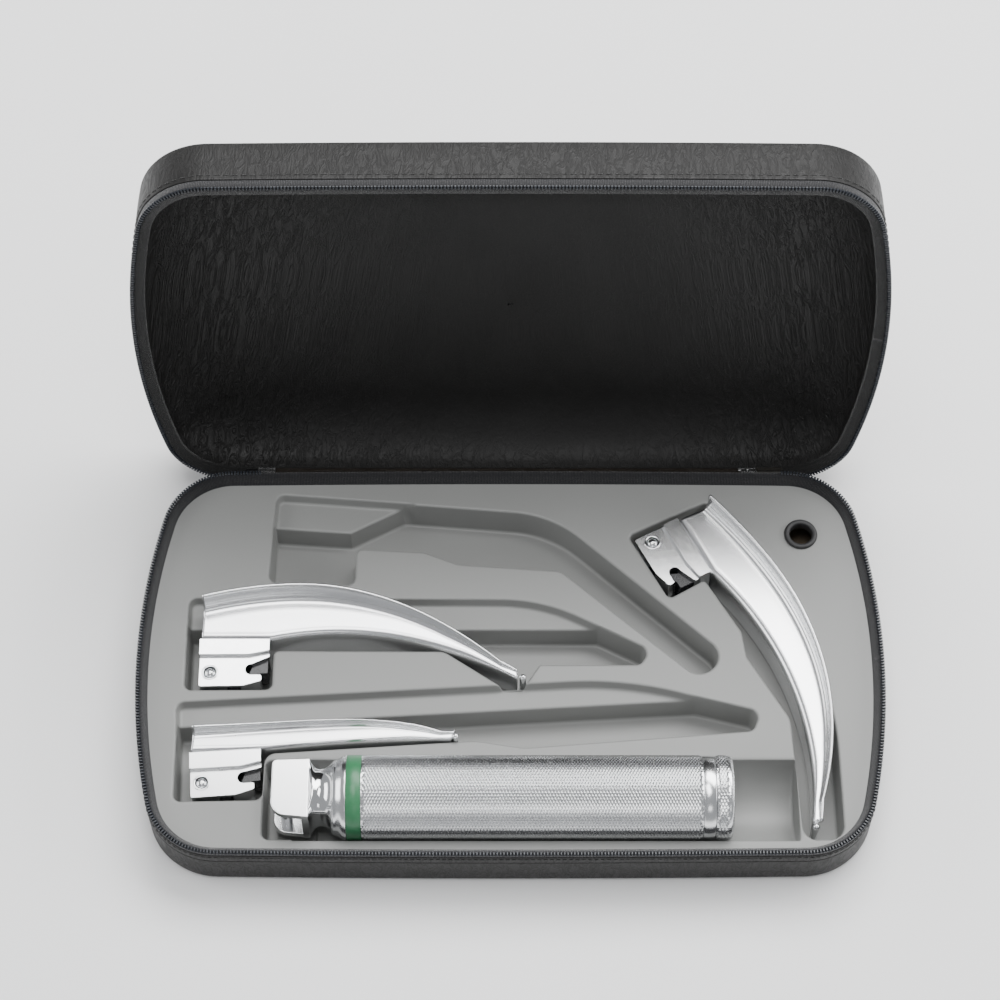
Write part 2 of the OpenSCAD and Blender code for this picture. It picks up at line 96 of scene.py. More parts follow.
def make_lights():
    area_light("key_softbox", (0.30, 0.72, 1.15), (0, 0.0, 0), (1.3, 0.8), 29.0)
    area_light("top_softbox", (-0.1, -0.05, 1.35), (0, 0.0, 0), (0.7, 0.5), 7.0)
    area_light("left_strip", (-1.1, 0.1, 0.5), (0, 0, 0.03), (0.9, 0.4), 5.0)
    area_light("right_strip", (1.1, 0.1, 0.5), (0, 0, 0.03), (0.9, 0.4), 7.0)
    area_light("lid_fill", (0.1, -1.2, 0.9), (0, 0.09, 0.09), (0.5, 0.3), 1.0)
    world = bpy.data.worlds.new("studio")
    bpy.context.scene.world = world
    world.use_nodes = True
    back = world.node_tree.nodes["Background"]
    back.inputs["Color"].default_value = (0.95, 0.97, 1.0, 1.0)
    back.inputs["Strength"].default_value = 0.42


# ---------------------------------------------------------------- materials

class Material:
    """A node material: small wrappers that keep each finish to a few lines."""

    def __init__(self, name, rough=0.5, metal=0.0, **sockets):
        self.data = bpy.data.materials.new(name)
        self.data.use_nodes = True
        self.tree = self.data.node_tree
        self.shader = self.tree.nodes["Principled BSDF"]
        self.set(self.shader, Roughness=rough, Metallic=metal)
        for key, value in sockets.items():
            self.set(self.shader, **{key.replace("_", " "): value})

    def set(self, node, **inputs):
        for key, value in inputs.items():
            key = key.replace("_", " ")
            if isinstance(value, bpy.types.NodeSocket):
                self.tree.links.new(value, node.inputs[key])
            else:
                node.inputs[key].default_value = value

    def node(self, kind, settings=None, out=0, **inputs):
        made = self.tree.nodes.new("ShaderNode" + kind)
        for key, value in (settings or {}).items():
            setattr(made, key, value)
        self.set(made, **inputs)
        return made.outputs[out]

    def place(self, kind="Object", scale=(1.0, 1.0, 1.0)):
        """Object coordinates are metres; UV coordinates are millimetres."""
        coords = self.tree.nodes.new("ShaderNodeTexCoord").outputs[kind]
        return self.node("Mapping", Vector=coords, Scale=scale)

    def noise(self, where, scale, detail=3.0, rough=0.55, distort=0.0):
        return self.node("TexNoise", None, "Fac", Vector=where, Scale=scale, Detail=detail, Roughness=rough,
            Distortion=distort)

    def ramp(self, fac, stops):
        made = self.tree.nodes.new("ShaderNodeValToRGB")
        ramp = made.color_ramp
        while len(ramp.elements) < len(stops):
            ramp.elements.new(0.5)
        for element, (place, colour) in zip(ramp.elements, stops):
            element.position = place
            element.color = (colour, colour, colour, 1.0) if isinstance(colour, float) else (*colour, 1.0)
        self.tree.links.new(fac, made.inputs["Fac"])
        return made.outputs["Color"]

    def math(self, operation, a, b=0.0):
        made = self.tree.nodes.new("ShaderNodeMath")
        made.operation = operation
        for socket, value in zip(made.inputs, (a, b)):
            if isinstance(value, bpy.types.NodeSocket):
                self.tree.links.new(value, socket)
            else:
                socket.default_value = value
        return made.outputs[0]

    def mix(self, a, b, share):
        """share of a and the rest of b."""
        return self.math("ADD", self.math("MULTIPLY", a, share), self.math("MULTIPLY", b, 1.0 - share))

    def bump(self, height, strength, distance, normal=None):
        made = self.tree.nodes.new("ShaderNodeBump")
        self.set(made, Height=height, Strength=strength, Distance=distance)
        if normal is not None:
            self.tree.links.new(normal, made.inputs["Normal"])
        return made.outputs[0]

    def finish(self, colour=None, rough=None, normal=None):
        if colour is not None:
            self.set(self.shader, **{"Base Color": colour})
        if rough is not None:
            self.set(self.shader, Roughness=rough)
        if normal is not None:
            self.set(self.shader, Normal=normal)
        return self.data


def leather(name, dark, light, crease=1.0, rough=0.46, coat=0.0, centre=None):
    """Leatherette: pebble grain, and creases along V that fade towards centre. UV is millimetres."""
    m = Material(name, rough, Specular_IOR_Level=0.35, Coat_Weight=coat, Coat_Roughness=0.3)
    fine = m.noise(m.place("UV"), 1.9, 4.0, 0.6)
    warp = m.noise(m.place("UV", (1.0, 0.3, 1.0)), 0.42, 3.0, 0.6, 0.9)
    fold = m.math("ABSOLUTE", m.math("SUBTRACT", warp, 0.5))
    crease_line = m.ramp(fold, [(0.0, 0.0), (0.035, 0.6), (0.11, 1.0)])
    warp2 = m.noise(m.place("UV", (1.8, 0.7, 1.0)), 0.6, 2.0, 0.5, 0.5)
    fold2 = m.math("ABSOLUTE", m.math("SUBTRACT", warp2, 0.5))
    small_line = m.ramp(fold2, [(0.0, 0.0), (0.06, 0.8), (0.12, 1.0)])
    if centre is not None:
        u, v, reach = centre
        spot = m.node("VectorMath", {"operation": "DISTANCE"}, "Value", Vector=m.place("UV"))
        spot.node.inputs[1].default_value = (u, v, 0.0)
        fade = m.ramp(m.math("DIVIDE", spot, reach), [(0.25, 0.12), (1.0, 1.0)])
        crease_line = m.math("MULTIPLY", crease_line, fade)
        small_line = m.math("MULTIPLY", small_line, m.math("ADD", m.math("MULTIPLY", fade, 0.6), 0.4))
    grain = m.bump(fine, 0.35, 0.00012)
    small = m.bump(small_line, 0.4 * crease, 0.0002, grain)
    large = m.bump(crease_line, 0.8 * crease, 0.0006, small)
    blotch = m.noise(m.place("UV", (0.05, 0.05, 1.0)), 1.0, 2.0)
    shade = m.ramp(m.mix(fine, blotch, 0.6), [(0.3, dark), (0.75, light)])
    wear = m.ramp(crease_line, [(0.0, rough + 0.14), (1.0, rough)])
    return m.finish(shade, wear, large)


def velour(name, dark, light):
    """Short dense pile with scattered painted glints: bright specks put into its colour. UV is millimetres.
    """
    m = Material(name, 0.9, Sheen_Weight=0.5, Sheen_Roughness=0.3)
    # Painted glints: ends and speck mark scattered bright specks in the base colour, standing in for light
    # caught by the pile.
    pile = m.noise(m.place("UV", (1.0, 1.4, 1.0)), 3.2, 3.0, 0.75)
    ends = m.noise(m.place("UV"), 2.2, 2.0, 0.8)
    speck = m.ramp(ends, [(0.66, 0.0), (0.74, 1.0)])
    colour = m.node("Mix", {"data_type": "RGBA"}, 2)
    mix = colour.node
    m.tree.links.new(speck, mix.inputs[0])
    m.tree.links.new(m.ramp(pile, [(0.35, dark), (0.75, light)]), mix.inputs[6])
    # The painted glint colour, five times the pile's light tone.
    mix.inputs[7].default_value = (*[c * 5 for c in light], 1.0)
    return m.finish(colour, None, m.bump(pile, 0.9, 0.0004))


def woven(name, dark, light, pitch=0.55):
    """Narrow woven tape. UV is millimetres, u along the tape."""
    m = Material(name, 0.85, Sheen_Weight=0.35, Sheen_Roughness=0.4)
    along, across = (m.node("TexWave", {"wave_type": "BANDS", "bands_direction": way}, "Fac",
        Vector=m.place("UV"), Scale=0.314 / pitch * share, Distortion=0.6, Detail=1.0)
        for way, share in (("X", 1.0), ("Y", 1.2)))
    weave = m.math("MULTIPLY", along, across)
    fuzz = m.noise(m.place("UV"), 2.5, 3.0, 0.7)
    colour = m.ramp(m.mix(weave, fuzz, 0.6), [(0.1, dark), (0.9, light)])
    return m.finish(colour, None, m.bump(fuzz, 0.5, 0.0002, m.bump(weave, 0.8, 0.00025)))


def steel(name, colour=(0.80, 0.81, 0.82), rough=0.2, brush=(40.0, 40.0, 40.0), grain=0.08, bump=0.06):
    """Plated or bare steel with fine satin grain; brush stretches the grain in metres."""
    m = Material(name, rough, 1.0)
    fine = m.noise(m.place("Object", brush), 60.0, 3.0, 0.6)
    cloud = m.noise(m.place("Object"), 35.0, 2.0)
    dark = tuple(c * 0.93 for c in colour)
    shade = m.ramp(cloud, [(0.3, dark), (0.7, colour)])
    spread = m.ramp(fine, [(0.25, max(0.02, rough - grain)), (0.8, rough + grain)])
    return m.finish(shade, spread, m.bump(fine, bump, 0.00002))


def tray_plastic():
    """Satin grey formed sheet with a faint orange-peel skin."""
    m = Material("tray_plastic", 0.42, Specular_IOR_Level=0.5)
    peel = m.noise(m.place(), 900.0, 2.0)
    cloud = m.noise(m.place(), 9.0, 3.0)
    speck = m.noise(m.place(), 2600.0, 2.0, 0.8)
    shade = m.ramp(m.mix(cloud, speck, 0.7), [(0.25, (0.215, 0.218, 0.212)), (0.75, (0.242, 0.245, 0.238))])
    rough = m.ramp(cloud, [(0.3, 0.38), (0.7, 0.46)])
    return m.finish(shade, rough, m.bump(peel, 0.06, 0.00005))


def plastic(name, dark, light, rough=0.35, grain=700.0, bump=0.08):
    m = Material(name, rough, Specular_IOR_Level=0.5)
    fine = m.noise(m.place(), grain, 3.0, 0.6)
    cloud = m.noise(m.place(), 60.0, 2.0)
    shade = m.ramp(m.mix(fine, cloud, 0.35), [(0.3, dark), (0.7, light)])
    spread = m.ramp(fine, [(0.3, max(0.05, rough - 0.06)), (0.7, rough + 0.06)])
    return m.finish(shade, spread, m.bump(fine, bump, 0.00005))


def floor_paper():
    m = Material("floor_paper", 0.95, Specular_IOR_Level=0.0)
    cloud = m.noise(m.place(), 3.0, 2.0)
    return m.finish(m.ramp(cloud, [(0.3, (0.95, 0.95, 0.95)), (0.7, (0.97, 0.97, 0.97))]), None, None)


def make_materials():
    return {
        "lid_leather": leather("lid_leather", (0.0075, 0.0072, 0.007), (0.0165, 0.016, 0.0155), 1.0, 0.42,
            centre=(10.0, 5.0, 125.0)),
        "skin_leather": leather("skin_leather", (0.005, 0.0048, 0.0046), (0.011, 0.0104, 0.0098), 0.3, 0.46),
        "hinge_leather": leather("hinge_leather", (0.013, 0.0105, 0.0085), (0.026, 0.021, 0.0165), 0.5, 0.38),
        "tab_leather": leather("tab_leather", (0.014, 0.013, 0.0115), (0.026, 0.024, 0.021), 0.4, 0.3, 0.3),
        "velour": velour("velour", (0.0015, 0.0015, 0.0015), (0.010, 0.010, 0.0095)),
        "zip_tape": woven("zip_tape", (0.004, 0.004, 0.005), (0.017, 0.017, 0.021)),
        "zip_coil": plastic("zip_coil", (0.012, 0.014, 0.018), (0.026, 0.03, 0.038), 0.26),
        "zip_metal": steel("zip_metal", (0.06, 0.06, 0.063), 0.32),
        "bright_stop": steel("bright_stop", (0.35, 0.35, 0.35), 0.3),
        "thread": woven("thread", (0.003, 0.003, 0.003), (0.02, 0.019, 0.018), 0.3),
        "tray": tray_plastic(),
        "rubber": plastic("rubber", (0.016, 0.016, 0.017), (0.03, 0.03, 0.031), 0.55),
        "board": plastic("board", (0.18, 0.14, 0.1), (0.3, 0.24, 0.17), 0.8),
        "web": steel("web", (0.90, 0.905, 0.915), 0.25, (25.0, 25.0, 25.0), 0.03, 0.02),
        "polished": steel("polished", (0.84, 0.85, 0.86), 0.12, (30.0, 30.0, 30.0), 0.03, 0.02),
        "block": steel("block", (0.90, 0.905, 0.91), 0.2, (60.0, 12.0, 60.0), 0.04, 0.03),
        "knurl": steel("knurl", (0.80, 0.81, 0.82), 0.24, (30.0, 30.0, 30.0), 0.08),
        "turned": steel("turned", (0.80, 0.81, 0.82), 0.22, (400.0, 12.0, 12.0), 0.08, 0.12),
        "green": plastic("green", (0.03, 0.15, 0.065), (0.045, 0.19, 0.085), 0.34),
        "brass": steel("brass", (0.72, 0.55, 0.24), 0.25),
        "white": plastic("white_plastic", (0.75, 0.75, 0.74), (0.85, 0.85, 0.84), 0.4),
        "sleeve": plastic("sleeve", (0.62, 0.6, 0.52), (0.72, 0.7, 0.62), 0.5),
        "cell": plastic("cell_wrap", (0.05, 0.085, 0.13), (0.08, 0.12, 0.17), 0.3),
        "spring": steel("spring_steel", (0.62, 0.62, 0.63), 0.3),
        "inlet": plastic("inlet_black", (0.008, 0.008, 0.009), (0.018, 0.018, 0.02), 0.25),
        "fibre": plastic("fibre_glass", (0.6, 0.63, 0.65), (0.75, 0.78, 0.8), 0.15),
        "floor": floor_paper(),
    }


# ---------------------------------------------------------------- mesh helpers (millimetres)

def mesh_piece(name, verts, faces, material, body, replaces=(), smooth=True, uv=None):
    """One piece from arrays in millimetres; uv is one (u, v) per vertex, in millimetres."""
    data = bpy.data.meshes.new(name)
    verts = np.asarray(verts, float) * MM
    data.from_pydata(verts.tolist(), [], [list(map(int, f)) for f in faces])
    data.polygons.foreach_set("use_smooth", [smooth] * len(data.polygons))
    if uv is not None:
        layer = data.uv_layers.new(name="mm")
        index = np.empty(len(data.loops), int)
        data.loops.foreach_get("vertex_index", index)
        layer.data.foreach_set("uv", np.asarray(uv, float)[index].ravel())
    data.update()
    data.materials.append(material)
    piece = bpy.data.objects.new(name, data)
    bpy.context.collection.objects.link(piece)
    if body is not None:
        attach(piece, body)
    if replaces:
        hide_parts(*replaces)
    return piece


def grid_faces(rows, columns, wrap_rows=False):
    """Quads between rings of vertices; the last ring joins the first if wrap_rows."""
    i = np.arange(rows if wrap_rows else rows - 1)
    i, j = np.meshgrid(i, np.arange(columns), indexing="ij")
    ni, nj = (i + 1) % rows, (j + 1) % columns
    quads = [i * columns + j, ni * columns + j, ni * columns + nj, i * columns + nj]
    return np.stack(quads, -1).reshape(-1, 4)


def quarter(inset):
    """Side arc, corner arc and end arc of the case outline, from the right side to the back."""
    a, b = CASE_W / 2, CASE_D / 2
    rs = (b * b + SIDE_BOW ** 2) / (2 * SIDE_BOW)
    rf = (a * a + END_BOW ** 2) / (2 * END_BOW)
    cs, cf = np.array([a - rs, 0.0]), np.array([0.0, b - rf])
    d1, d2, d = rs - CORNER_R, rf - CORNER_R, np.linalg.norm(cf - cs)
    along = (d1 * d1 - d2 * d2 + d * d) / (2 * d)
    ex = (cf - cs) / d
    c = cs + ex * along + np.array([-ex[1], ex[0]]) * math.sqrt(d1 * d1 - along * along)
    g, h = math.atan2(*(c - cs)[::-1]), math.atan2(*(c - cf)[::-1])

    def arc(centre, radius, start, stop, count):
        t = np.linspace(start, stop, count)
        return centre + radius * np.stack([np.cos(t), np.sin(t)], -1)

    return np.concatenate([arc(cs, rs - inset, 0.0, g, 40)[:-1], arc(c, CORNER_R - inset, g, h, 60)[:-1],
        arc(cf, rf - inset, h, math.pi / 2, 120)])


def outline(count, inset=0.0):
    """Evenly spaced points of the case outline, anticlockwise from its right side, with outward normals."""
    q = quarter(0.0)
    upper = np.concatenate([q, (q * [-1, 1])[::-1][1:]])
    loop = np.concatenate([upper, (upper * [1, -1])[::-1][1:-1]])
    closed = np.concatenate([loop, loop[:1]])
    run = np.concatenate([[0.0], np.cumsum(np.linalg.norm(np.diff(closed, axis=0), axis=1))])
    s = np.linspace(0.0, run[-1], count, endpoint=False)
    points = np.stack([np.interp(s, run, closed[:, k]) for k in (0, 1)], -1)
    ahead = np.roll(points, -1, axis=0) - np.roll(points, 1, axis=0)
    ahead /= np.linalg.norm(ahead, axis=1, keepdims=True)
    normals = np.stack([ahead[:, 1], -ahead[:, 0]], -1)
    return points - normals * inset, normals, s


def loft(profile, count):
    """Rings of the case outline at each (inset, z) of the profile: vertices, faces and UV."""
    points, normals, s = outline(count)
    run = np.concatenate([[0.0], np.cumsum([math.dist(p, q) for p, q in zip(profile, profile[1:])])])
    verts = [np.column_stack([points - normals * inset, np.full(count, z)]) for inset, z in profile]
    uv = [np.column_stack([s, np.full(count, v)]) for v in run]
    return np.concatenate(verts), grid_faces(len(profile), count), np.concatenate(uv)


def opened(points):
    """Closed lid to open lid: turns points about the hinge."""
    p = np.asarray(points, float) - PIVOT
    c, s = math.cos(LID_OPEN), math.sin(LID_OPEN)
    return np.column_stack([p[:, 0], p[:, 1] * c - p[:, 2] * s, p[:, 1] * s + p[:, 2] * c]) + PIVOT


def arc_profile(centre, radius, start, stop, count):
    t = np.radians(np.linspace(start, stop, count))
    return [(centre[0] - radius * math.cos(a), centre[1] + radius * math.sin(a)) for a in t]


def flat_cap(profile_inset, z, count, rings=14):
    """Fills the outline at one height with shrinking rings, so a large panel has an even mesh."""
    points, _, _ = outline(count, profile_inset)
    scale = np.linspace(1.0, 0.0, rings)[:-1]
    verts = [np.column_stack([points * k, np.full(count, z)]) for k in scale]
    verts = np.concatenate(verts + [np.array([[0.0, 0.0, z]])])
    faces = grid_faces(rings - 1, count).tolist()
    last = (rings - 2) * count
    faces += [[last + j, last + (j + 1) % count, len(verts) - 1] for j in range(count)]
    return verts, faces


def joined(parts):
    """Several (vertices, faces, uv) as one."""
    verts, faces, uvs, start = [], [], [], 0
    for v, f, uv in parts:
        verts.append(np.asarray(v, float))
        faces += [[int(i) + start for i in face] for face in f]
        uvs.append(np.asarray(uv, float))
        start += len(v)
    return np.concatenate(verts), faces, np.concatenate(uvs)


# ---------------------------------------------------------------- case

def skin_profile(face, rim, hem, out):
    """Outer skin from the flat face round its edge and up the wall to its hem; out is +1 for the base."""
    edge = SKIN_EDGE
    turn = arc_profile((edge, face + out * edge), edge, -90.0 * out, 0.0, 9)
    top = rim - out * hem
    wall = [(0.0, face + out * edge + (top - face - out * edge) * k) for k in (0.25, 0.5, 0.75, 0.95)]
    return turn + wall + [(0.0, top - out * 0.3), (0.08, top - out * 0.08), (0.3, top),
        (0.9, top - out * 0.1)]


def case_skin(name, face, rim, hem, out, body, node, turn):
    count = 640
    verts, faces, uv = loft(skin_profile(face, rim, hem, out), count)
    cap, cap_faces = flat_cap(SKIN_EDGE, face, count)
    verts, faces, uv = joined([(verts, faces, uv), (cap, cap_faces, cap[:, :2])])
    if out < 0:
        faces = [f[::-1] for f in faces]
    mesh_piece(name, turn(verts), faces, MAT["skin_leather"], body, [node], uv=uv)


def band(name, profile, material, body, replaces, turn):
    """A band of one material round the whole outline."""
    verts, faces, uv = loft(profile, 640)
    mesh_piece(name, turn(verts), faces, MAT[material], body, replaces, uv=uv)


def zip_teeth(name, z, up, body, node, turn, ends):
    """One row of moulded coil teeth along the rim; behind the corners it stops at x = ends."""
    count = 668
    points, normals, _ = outline(count, 0.75)
    keep = (points[:, 1] < 60.0) | (points[:, 0] < ends[0]) | (points[:, 0] > ends[1])
    points, normals = points[keep], normals[keep]
    along = np.column_stack([-normals[:, 1], normals[:, 0]])
    tooth = np.array([(u, v, w) for w, k in ((0.0, 1.0), (0.45, 1.0), (0.75, 0.6))
        for u, v in ((-0.34 * k, -0.75 * k), (0.34 * k, -0.75 * k), (0.34 * k, 0.75 * k),
        (-0.34 * k, 0.75 * k))])
    faces = [(0, 1, 5, 4), (1, 2, 6, 5), (2, 3, 7, 6), (3, 0, 4, 7), (4, 5, 9, 8), (5, 6, 10, 9),
        (6, 7, 11, 10), (7, 4, 8, 11), (8, 9, 10, 11), (3, 2, 1, 0)]
    flat = points[:, None] + tooth[None, :, 0:1] * along[:, None] + tooth[None, :, 1:2] * normals[:, None]
    height = np.broadcast_to(z + up * tooth[None, :, 2], flat.shape[:2])
    verts = np.concatenate([flat, height[..., None]], -1).reshape(-1, 3)
    all_faces = (np.array(faces)[None] + np.arange(len(points))[:, None, None] * 12).reshape(-1, 4)
    if up < 0:
        all_faces = all_faces[:, ::-1]
    mesh_piece(name, turn(verts), all_faces, MAT["zip_coil"], body, [node], smooth=False)


def lid_bowl():
    """The lid's padded lining: a soft concave bowl with gentle swells under the leatherette."""
    count, rings = 720, 100
    points, normals, _ = outline(count)
    depth, reach, edge_in = 17.7, 24.0, 4.9
    verts = []
    for k in range(rings):
        t = k / rings
        inset = edge_in + 36.0 * t
        flat = points - normals * inset
        core = points * (1.0 - t) ** 1.1
        mix = np.clip((t - 0.25) / 0.5, 0.0, 1.0)
        mix = mix * mix * (3.0 - 2.0 * mix)
        ring = flat * (1 - mix) + core * mix
        far = np.clip(-signed_distance(ring[:, 0], ring[:, 1], points) - edge_in, 0.0, reach) / reach
        fall = np.sqrt(np.clip(1.0 - (1.0 - far) ** 2.2, 0.0, 1.0))
        verts.append(np.column_stack([ring, LID_RIM + 1.5 + (depth - 1.5) * fall]))
    verts = np.concatenate(verts + [[[0.0, 0.0, LID_RIM + depth]]])
    swell = (0.2 * np.sin(verts[:, 0] * 0.11 + 1.3) * np.sin(verts[:, 1] * 0.07 + 0.4)
             + 0.12 * np.sin(verts[:, 0] * 0.23 + verts[:, 1] * 0.13))
    verts[:, 2] += swell * np.clip((verts[:, 2] - LID_RIM - 3.0) / 8.0, 0.0, 1.0)
    uv = verts[:, :2] * 1.0
    uv[:, 0] -= 0.18 * uv[:, 1] * np.tanh(uv[:, 0] / 30.0)
    uv[:, 1] -= verts[:, 2] * 0.8 * np.tanh(uv[:, 1] / 20.0)
    faces = grid_faces(rings, count).tolist()
    centre, last = rings * count, (rings - 1) * count
    faces += [[last + j, last + (j + 1) % count, centre] for j in range(count)]
    mesh_piece("lid_padded_lining", opened(verts), [f[::-1] for f in faces], MAT["lid_leather"], "case lid",
               ["lid_lining"], uv=uv)


def stitches(name, inset, z, turn, body, pitch=3.0, keep=None):
    """A row of thread stitches, each a short raised capsule sunk a little into the leather."""
    points, normals, s = outline(int(780 / pitch), inset)
    if keep is not None:
        chosen = keep(points)
        points, normals = points[chosen], normals[chosen]
    along = np.column_stack([-normals[:, 1], normals[:, 0], np.zeros(len(points))])
    side = np.column_stack([normals, np.zeros(len(points))])
    sides, steps = 6, 6
    u = np.linspace(-1.0, 1.0, steps)[None, :, None, None]
    shape = np.sqrt(np.clip(1.0 - np.abs(u) ** 4, 0.05, 1.0))
    angle = (np.arange(sides) * 2 * math.pi / sides)[None, None, :, None]
    spot = np.column_stack([points, np.full(len(points), z)])[:, None, None, :]
    ring = spot + u * pitch * 0.36 * along[:, None, None, :]
    out = np.cos(angle) * side[:, None, None, :] + np.sin(angle) * np.array([0.0, 0.0, 1.0])
    ring = ring + 0.17 * shape * out
    verts = ring.reshape(-1, 3)
    base = grid_faces(steps, sides)
    faces = (base[None] + (np.arange(len(points)) * steps * sides)[:, None, None]).reshape(-1, 4)
    mesh_piece(name, turn(verts), faces, MAT["thread"], body, uv=verts[:, :2])


def strip_piece(name, line, x0, x1, thick, material, body, replaces=(), steps=120, sag=0.0):
    """A soft strip along X: a (y, z) line given thickness, closed all round, with a little unevenness."""
    line = np.array(line, float)
    t = np.linspace(0.0, len(line) - 1.0, 28)
    line = np.column_stack([np.interp(t, np.arange(len(line)), line[:, k]) for k in (0, 1)])
    for _ in range(6):
        line[1:-1] = (line[:-2] + 2 * line[1:-1] + line[2:]) / 4
    ahead = np.gradient(line, axis=0)
    ahead /= np.linalg.norm(ahead, axis=1, keepdims=True)
    normal = np.column_stack([ahead[:, 1], -ahead[:, 0]])
    loop = np.concatenate([line, (line + normal * thick)[::-1]])
    middle = np.sin(np.linspace(0.0, math.pi, len(line)))
    middle = np.concatenate([middle, middle[::-1]])
    xs = np.linspace(x0, x1, steps)
    rings = []
    for x in xs:
        wave = sag * (math.sin(x * 0.21 + 0.7) + 0.6 * math.sin(x * 0.47))
        rings.append(np.column_stack([np.full(len(loop), x), loop[:, 0], loop[:, 1] + wave * middle]))
    verts = np.concatenate(rings)
    n = len(loop)
    faces = grid_faces(steps, n).tolist()
    faces += [list(range(n))[::-1], list(range((steps - 1) * n, steps * n))]
    run = np.concatenate([[0.0], np.cumsum(np.linalg.norm(np.diff(loop, axis=0), axis=1))])
    uv = np.column_stack([np.tile(run, steps), verts[:, 0]])
    return mesh_piece(name, verts, faces, MAT[material], body, replaces, uv=uv)


def pillow(centre, size, power=4.0, count=20):
    """A rounded box: vertices and faces."""
    a = np.linspace(-math.pi / 2, math.pi / 2, count)
    b = np.linspace(-math.pi, math.pi, 2 * count, endpoint=False)
    a, b = np.meshgrid(a, b, indexing="ij")

    def soft(value):
        return np.sign(value) * np.abs(value) ** (2.0 / power)

    wide = soft(np.cos(a))
    unit = np.stack([wide * soft(np.cos(b)), wide * soft(np.sin(b)), soft(np.sin(a))], -1)
    verts = np.array(centre) + unit.reshape(-1, 3) * np.array(size) / 2
    return verts, grid_faces(count, 2 * count).tolist()


def pillows(name, boxes, material, body, replaces=()):
    verts, faces, _ = joined([(*pillow(centre, size), np.zeros((1, 2))) for centre, size in boxes])
    return mesh_piece(name, verts, faces, MAT[material], body, replaces)


def make_hinge():
    fold = [(75.0, 19.9), (75.35, 18.4), (76.2, 17.2), (77.6, 16.8), (78.8, 16.4), (79.25, 14.8),
        (79.4, 12.4), (79.2, 9.8)]
    strip = strip_piece("hinge_strip_leather", fold, STRIP_X[0], 83.6, 0.8, "hinge_leather", None,
        ["hinge_strip"], sag=0.12)
    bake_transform(strip)
    for name, x0, x1 in (("zip_stop_patch", 83.8, 89.2), ("zip_start_patch", -91.5, STRIP_X[0] - 0.2)):
        patch = strip_piece(name, fold, x0, x1, 0.9, "velour", None, (), 12, 0.1)
        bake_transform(patch)
    strip_piece("zip_end_tab_leather", [(74.9, 20.3), (75.5, 18.9), (76.6, 17.9), (78.4, 17.4)], 89.4, 98.8,
        1.0, "tab_leather", "case base", ["zip_end_tab"], 24, 0.08)
    x, y = -92.0, 76.8
    pillows("zip_slider_body", [((x, y, 16.2), (8.2, 2.6, 1.1)), ((x, y, 13.0), (8.2, 2.4, 1.1)),
        ((x + 2.6, y, 14.6), (2.0, 2.2, 3.6)), ((x, y, 12.0), (3.0, 1.4, 1.6))], "zip_metal", "zip slider",
        ["zip_slider"])
    pillows("zip_end_stops", [((83.2, 77.0, 17.9), (1.2, 1.6, 1.0)), ((86.2, 77.2, 17.8), (0.9, 1.2, 0.9))],
            "bright_stop", "case base")


def make_case():
    same = np.asarray
    case_skin("base_leather_skin", 0.0, BASE_H, 6.0, 1.0, "case base", "base_shell", same)
    case_skin("lid_leather_skin", LID_TOP, LID_RIM, 3.3, -1.0, "case lid", "lid_shell", opened)
    band("base_binding_strip", [(0.7, BASE_H - 6.3), (0.2, BASE_H - 6.1), (0.06, BASE_H - 5.7),
        (0.05, BASE_H - 3.6), (0.1, BASE_H - 2.1), (0.3, BASE_H - 1.85), (0.7, BASE_H - 1.8)], "skin_leather",
        "case base", (), same)
    band("base_zip_tape_woven", [(0.45, BASE_H - 2.4), (0.3, BASE_H - 0.5), (0.45, BASE_H - 0.1),
        (0.8, BASE_H + 0.02), (1.6, BASE_H), (2.4, BASE_H - 0.9), (3.1, BASE_H - 2.2), (3.8, DECK_Z + 0.1),
        (4.2, DECK_Z - 0.3)], "zip_tape", "case base", ["base_zip_tape"], same)
    band("lid_zip_tape_woven", [(0.45, LID_RIM + 4.0), (0.3, LID_RIM + 2.0), (0.3, LID_RIM + 0.5),
        (0.45, LID_RIM + 0.1), (0.8, LID_RIM - 0.02), (1.7, LID_RIM)], "zip_tape", "case lid",
        ["lid_zip_tape"], opened)
    band("lid_zip_facing", [(1.5, LID_RIM - 0.02), (2.4, LID_RIM + 0.15), (3.4, LID_RIM + 0.45),
        (4.4, LID_RIM + 0.9), (4.75, LID_RIM + 1.0), (4.95, LID_RIM + 1.25), (5.0, LID_RIM + 2.4)], "velour",
        "case lid", (), opened)
    zip_teeth("base_zip_coil", BASE_H, 1.0, "case base", "base_zip_teeth", same, (-90.0, 98.0))
    zip_teeth("lid_zip_coil", LID_RIM, -1.0, "case lid", "lid_zip_teeth", opened, (-90.0, 104.0))
    stitches("lid_hem_stitches", -0.04, LID_RIM + 5.3, opened, "case lid", 3.0)
    stitches("base_binding_stitches", 0.0, BASE_H - 3.0, same, "case base", 2.2)
    lid_bowl()


# ---------------------------------------------------------------- tray

LARGE_DEEP = [(-85.6, 31, 3), (-55.1, 29.8, 3), (-55, 44.6, 2.5), (-30.5, 43.2, 3), (-18.5, 38.3, 3),
    (18, 35.6, 4), (66.3, -7.6, 6.4), (75.2, 2.1, 6.4), (14.7, 58.1, 40), (-38.2, 62.6, 0.6),
    (-57.2, 52.4, 0.6), (-84.6, 54.4, 0.4)]
LARGE_SHELF = [(-84.9, 50.0, 0), (-55.6, 48.6, 0), (-33.0, 60.0, 0), (-34.5, 62.6, 0), (-84, 66.6, 3)]
MIDDLE_DEEP = [(-113.2, -11.4, 2.5), (-82.8, -11.2, 2.5), (-82.8, 3.8, 2), (-23.2, 3.6, 6), (-2.4, -10.6, 3),
    (4.6, -10.4, 3), (10.2, -1.6, 1.5), (45.3, -1.6, 3), (48.9, 4, 3.4), (31, 13.4, 0.6), (-113.2, 13.4, 0)]
MIDDLE_SHELF = [(-113.2, 9.4, 0), (38.4, 9.4, 0), (10.9, 23.7, 60), (-113.2, 24.4, 3)]
